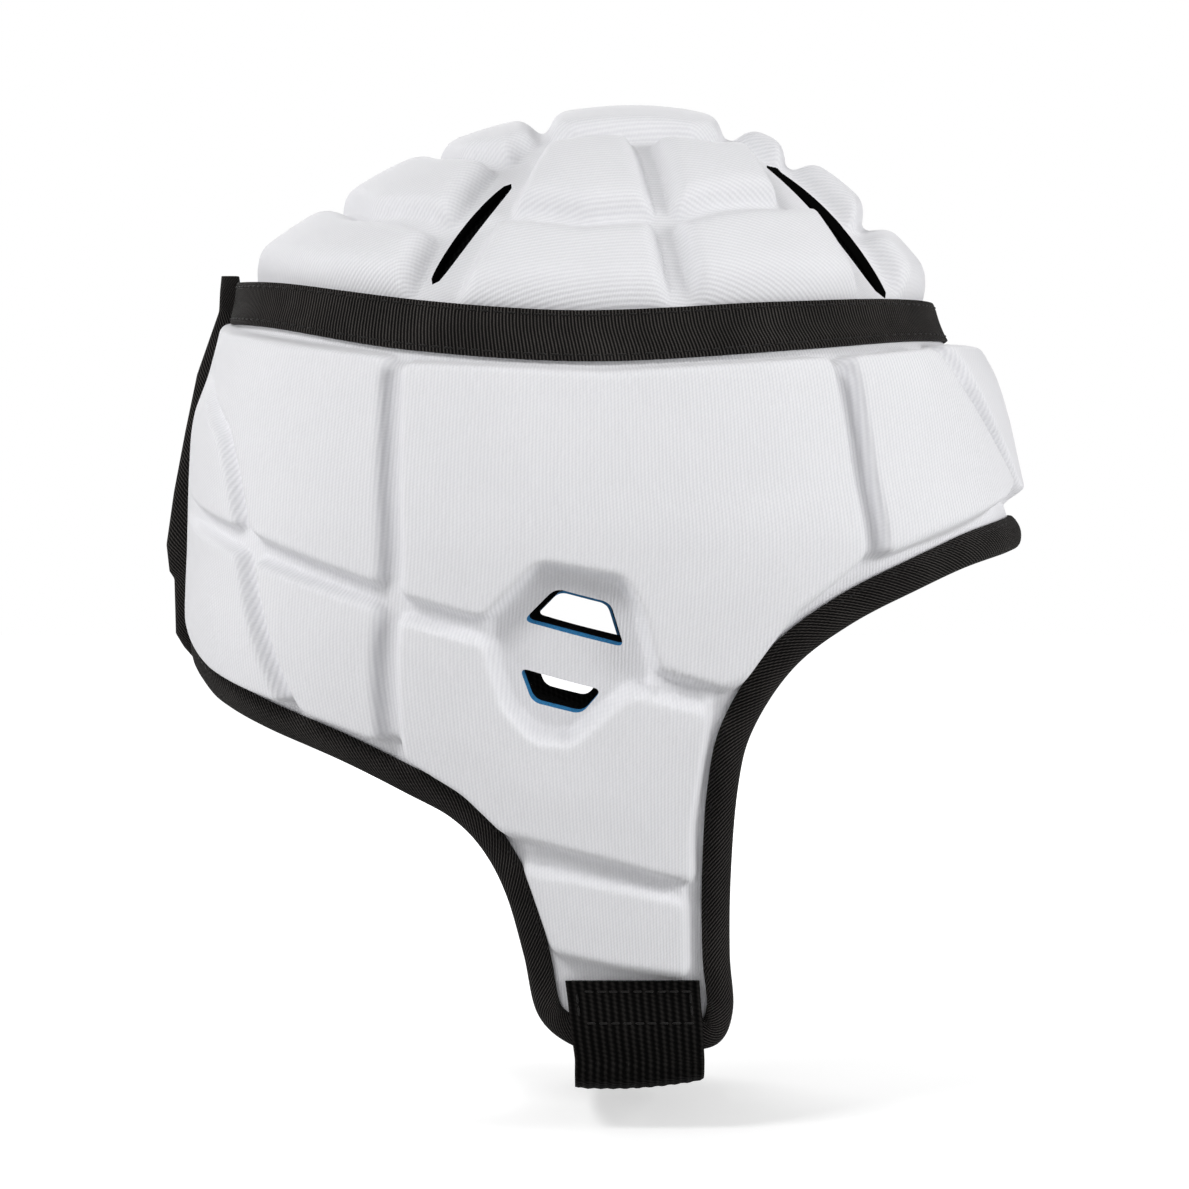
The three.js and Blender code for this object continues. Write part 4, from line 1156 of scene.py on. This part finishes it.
def strap_middle(columns_across, rows):
    """The middle face of the chin strap, from the right flap under the chin to the left.

    Control rows on the flap and below it are joined by a smooth curve along the strap.
    The strap leans a little, lower at its rear edge, and ripples where it turns under.
    """
    girth = np.linspace(STRAP_FRONT, STRAP_REAR, columns_across)
    lean = np.linspace(1, -1, columns_across)
    on_flap = [lifted(wall_on_head, girth, z + 0 * girth, out + STRAP_THICKNESS / 2)
               for z, out in STRAP_ON_FLAP]
    leave = on_flap[-1]
    below = [np.stack([leave[:, 0], leave[:, 1] + inward,
                       z + lean - 0.5 * np.cos(lean * 2.2)], -1)
             for inward, z in STRAP_BELOW]
    lowest = np.stack([leave[:, 0], 0 * girth, STRAP_LOWEST + 0 * girth], -1)
    right = np.array([*on_flap, *below])
    left = right[::-1] * np.array([1, -1, 1])
    control = np.concatenate([right, lowest[None], left])
    run = run_of(control.mean(1))
    table = {"run": run}
    at = np.linspace(0, run[-1], rows)
    face = np.empty((rows, columns_across, 3))
    for k in range(columns_across):
        for axis in range(3):
            table["value"] = control[:, k, axis]
            face[:, k, axis] = track(table, "run", "value", at)
    return face, at


class HELMET_OT_chin_strap(bpy.types.Operator):
    """Builds the webbing chin strap with its box of stitches on each flap"""
    bl_idname = "helmet.chin_strap"
    bl_label = "Chin strap"

    def execute(self, context):
        sizes = context.scene.helmet_sizes
        face, run = strap_middle(41, 420)
        count, across = face.shape[:2]
        way = unit(np.cross(np.gradient(face, axis=1), np.gradient(face, axis=0)))
        if way[count // 2, across // 2, 2] > 0:
            way = -way
        width = np.linalg.norm(face[20] - face[20, :1], axis=-1)
        ribs = 0.12 * np.sin(2 * np.pi * width / STRAP_RIB)
        edge = 0.5 * np.abs(np.linspace(-1, 1, across)) ** 14
        thick = STRAP_THICKNESS / 2
        outer = face + way * (thick + ribs - edge)[:, None]
        inner = face - way * (thick - edge)[:, None]
        flat = np.stack([width + 0 * run[:, None], run[:, None] + 0 * width], -1)
        piece = slab("chin_webbing", outer, inner, flat)
        finish_piece(piece, "chin_strap", [look_of("Webbing")])
        rows = []
        top, low = 6, int(np.searchsorted(run, 10.5))
        surface = outer + way * 0.05
        for first, second in ((top, low), (count - 1 - low, count - 1 - top)):
            box = slice(first, second + 1)
            for line in ((first, slice(2, -2)), (second, slice(2, -2)), (box, 3), (box, -4)):
                rows.append(stitch_row(
                    "webbing_stitches", surface[line], way[line], STRAP_STITCH, 0.5))
        finish_piece(joined("webbing_stitches", rows), None, [look_of("Thread")])
        return {"FINISHED"}


def area_light(name, place, aim, size, power):
    """A soft square light that looks from its place at its aim."""
    data = bpy.data.lights.new(name, "AREA")
    data.shape = "SQUARE"
    data.size = size
    data.energy = power
    lamp = bpy.data.objects.new(name, data)
    lamp.location = place
    way = np.array(aim, dtype=float) - np.array(place, dtype=float)
    flat = math.hypot(way[0], way[1])
    lamp.rotation_euler = (math.atan2(flat, -way[2]), 0, math.atan2(-way[0], way[1]))
    bpy.context.scene.collection.objects.link(lamp)


class HELMET_OT_stage(bpy.types.Operator):
    """Builds the camera, the soft lights and the plain floor"""
    bl_idname = "helmet.stage"
    bl_label = "Stage"

    def execute(self, context):
        scene = context.scene
        data = bpy.data.cameras.new("camera")
        data.sensor_width = SENSOR
        data.sensor_fit = "HORIZONTAL"
        data.lens = SENSOR * CAMERA_AWAY / (PICTURE * PIXEL)
        data.shift_x = (PICTURE / 2 - VIEW_COLUMN) / PICTURE
        data.shift_y = -(PICTURE / 2 - VIEW_ROW) / PICTURE
        data.clip_start = 0.05
        data.clip_end = 30
        camera = bpy.data.objects.new("camera", data)
        camera.location = (0, -CAMERA_AWAY * MM, CAMERA_HEIGHT * MM)
        camera.rotation_euler = (math.pi / 2, 0, 0)
        scene.collection.objects.link(camera)
        scene.camera = camera

        world = bpy.data.worlds.new("studio")
        world.use_nodes = True
        tree = world.node_tree
        back = tree.nodes["Background"]
        back.inputs["Color"].default_value = (1, 1, 1, 1)
        seen = add_node(tree, "ShaderNodeLightPath").outputs["Is Camera Ray"]
        tree.links.new(calc(tree, "ADD", calc(tree, "MULTIPLY", seen, 1 - STUDIO_GLOW),
                            STUDIO_GLOW), back.inputs["Strength"])
        scene.world = world
        scene.view_settings.view_transform = "Standard"

        for lamp in LAMPS:
            area_light(**lamp)

        points = [(FLOOR_HALF * x, FLOOR_HALF * y, FLOOR_HEIGHT)
                  for x, y in ((-1, -1), (1, -1), (1, 1), (-1, 1))]
        mesh = bpy.data.meshes.new("floor")
        mesh.from_pydata(points, [], [(0, 1, 2, 3)])
        floor = bpy.data.objects.new("floor", mesh)
        look = bpy.data.materials.new("Pale floor")
        look.use_nodes = True
        tree = look.node_tree
        shader = tree.nodes["Principled BSDF"]
        shader.inputs["Base Color"].default_value = (0.6, 0.6, 0.6, 1)
        shader.inputs["Roughness"].default_value = 0.95
        shader.inputs["Specular IOR Level"].default_value = 0.1
        shader.inputs["Emission Color"].default_value = (1, 1, 1, 1)
        place = add_node(tree, "ShaderNodeTexCoord").outputs["Object"]
        away = add_node(tree, "ShaderNodeVectorMath", {0: place}, operation="LENGTH")
        bright = add_node(tree, "ShaderNodeMapRange", {
            "Value": away.outputs["Value"], "From Min": 0.25, "From Max": 1.3,
            "To Min": 0.55, "To Max": 1.0}).outputs["Result"]
        seen = add_node(tree, "ShaderNodeLightPath").outputs["Is Camera Ray"]
        tree.links.new(calc(tree, "MULTIPLY", bright, seen), shader.inputs["Emission Strength"])
        mesh.materials.append(look)
        scene.collection.objects.link(floor)
        return {"FINISHED"}


class HELMET_PT_sidebar(bpy.types.Panel):
    """Sizes, colours and pieces of the helmet"""
    bl_idname = "HELMET_PT_sidebar"
    bl_label = "Soft shell helmet"
    bl_space_type = "VIEW_3D"
    bl_region_type = "UI"
    bl_category = "Helmet"

    def draw(self, context):
        for group in (context.scene.helmet_sizes, context.scene.helmet_colours):
            for key in group.__annotations__:
                self.layout.prop(group, key)
        for piece in PIECES:
            self.layout.operator(piece.bl_idname)


PIECES = (
    HELMET_OT_wall, HELMET_OT_crown, HELMET_OT_linings, HELMET_OT_band,
    HELMET_OT_bindings, HELMET_OT_chin_strap, HELMET_OT_stage,
)
CLASSES = (HelmetSizes, HelmetColours, *PIECES, HELMET_PT_sidebar)


def register():
    """Adds the classes, and the sizes and colours of the scene."""
    for cls in CLASSES:
        bpy.utils.register_class(cls)
    bpy.types.Scene.helmet_sizes = bpy.props.PointerProperty(type=HelmetSizes)
    bpy.types.Scene.helmet_colours = bpy.props.PointerProperty(type=HelmetColours)


def unregister():
    """Takes them away again."""
    del bpy.types.Scene.helmet_colours
    del bpy.types.Scene.helmet_sizes
    for cls in reversed(CLASSES):
        bpy.utils.unregister_class(cls)


def main():
    """Builds every piece and the stage."""
    register()
    for piece in PIECES:
        group, name = piece.bl_idname.split(".")
        getattr(getattr(bpy.ops, group), name)()


if __name__ == "__main__":
    main()
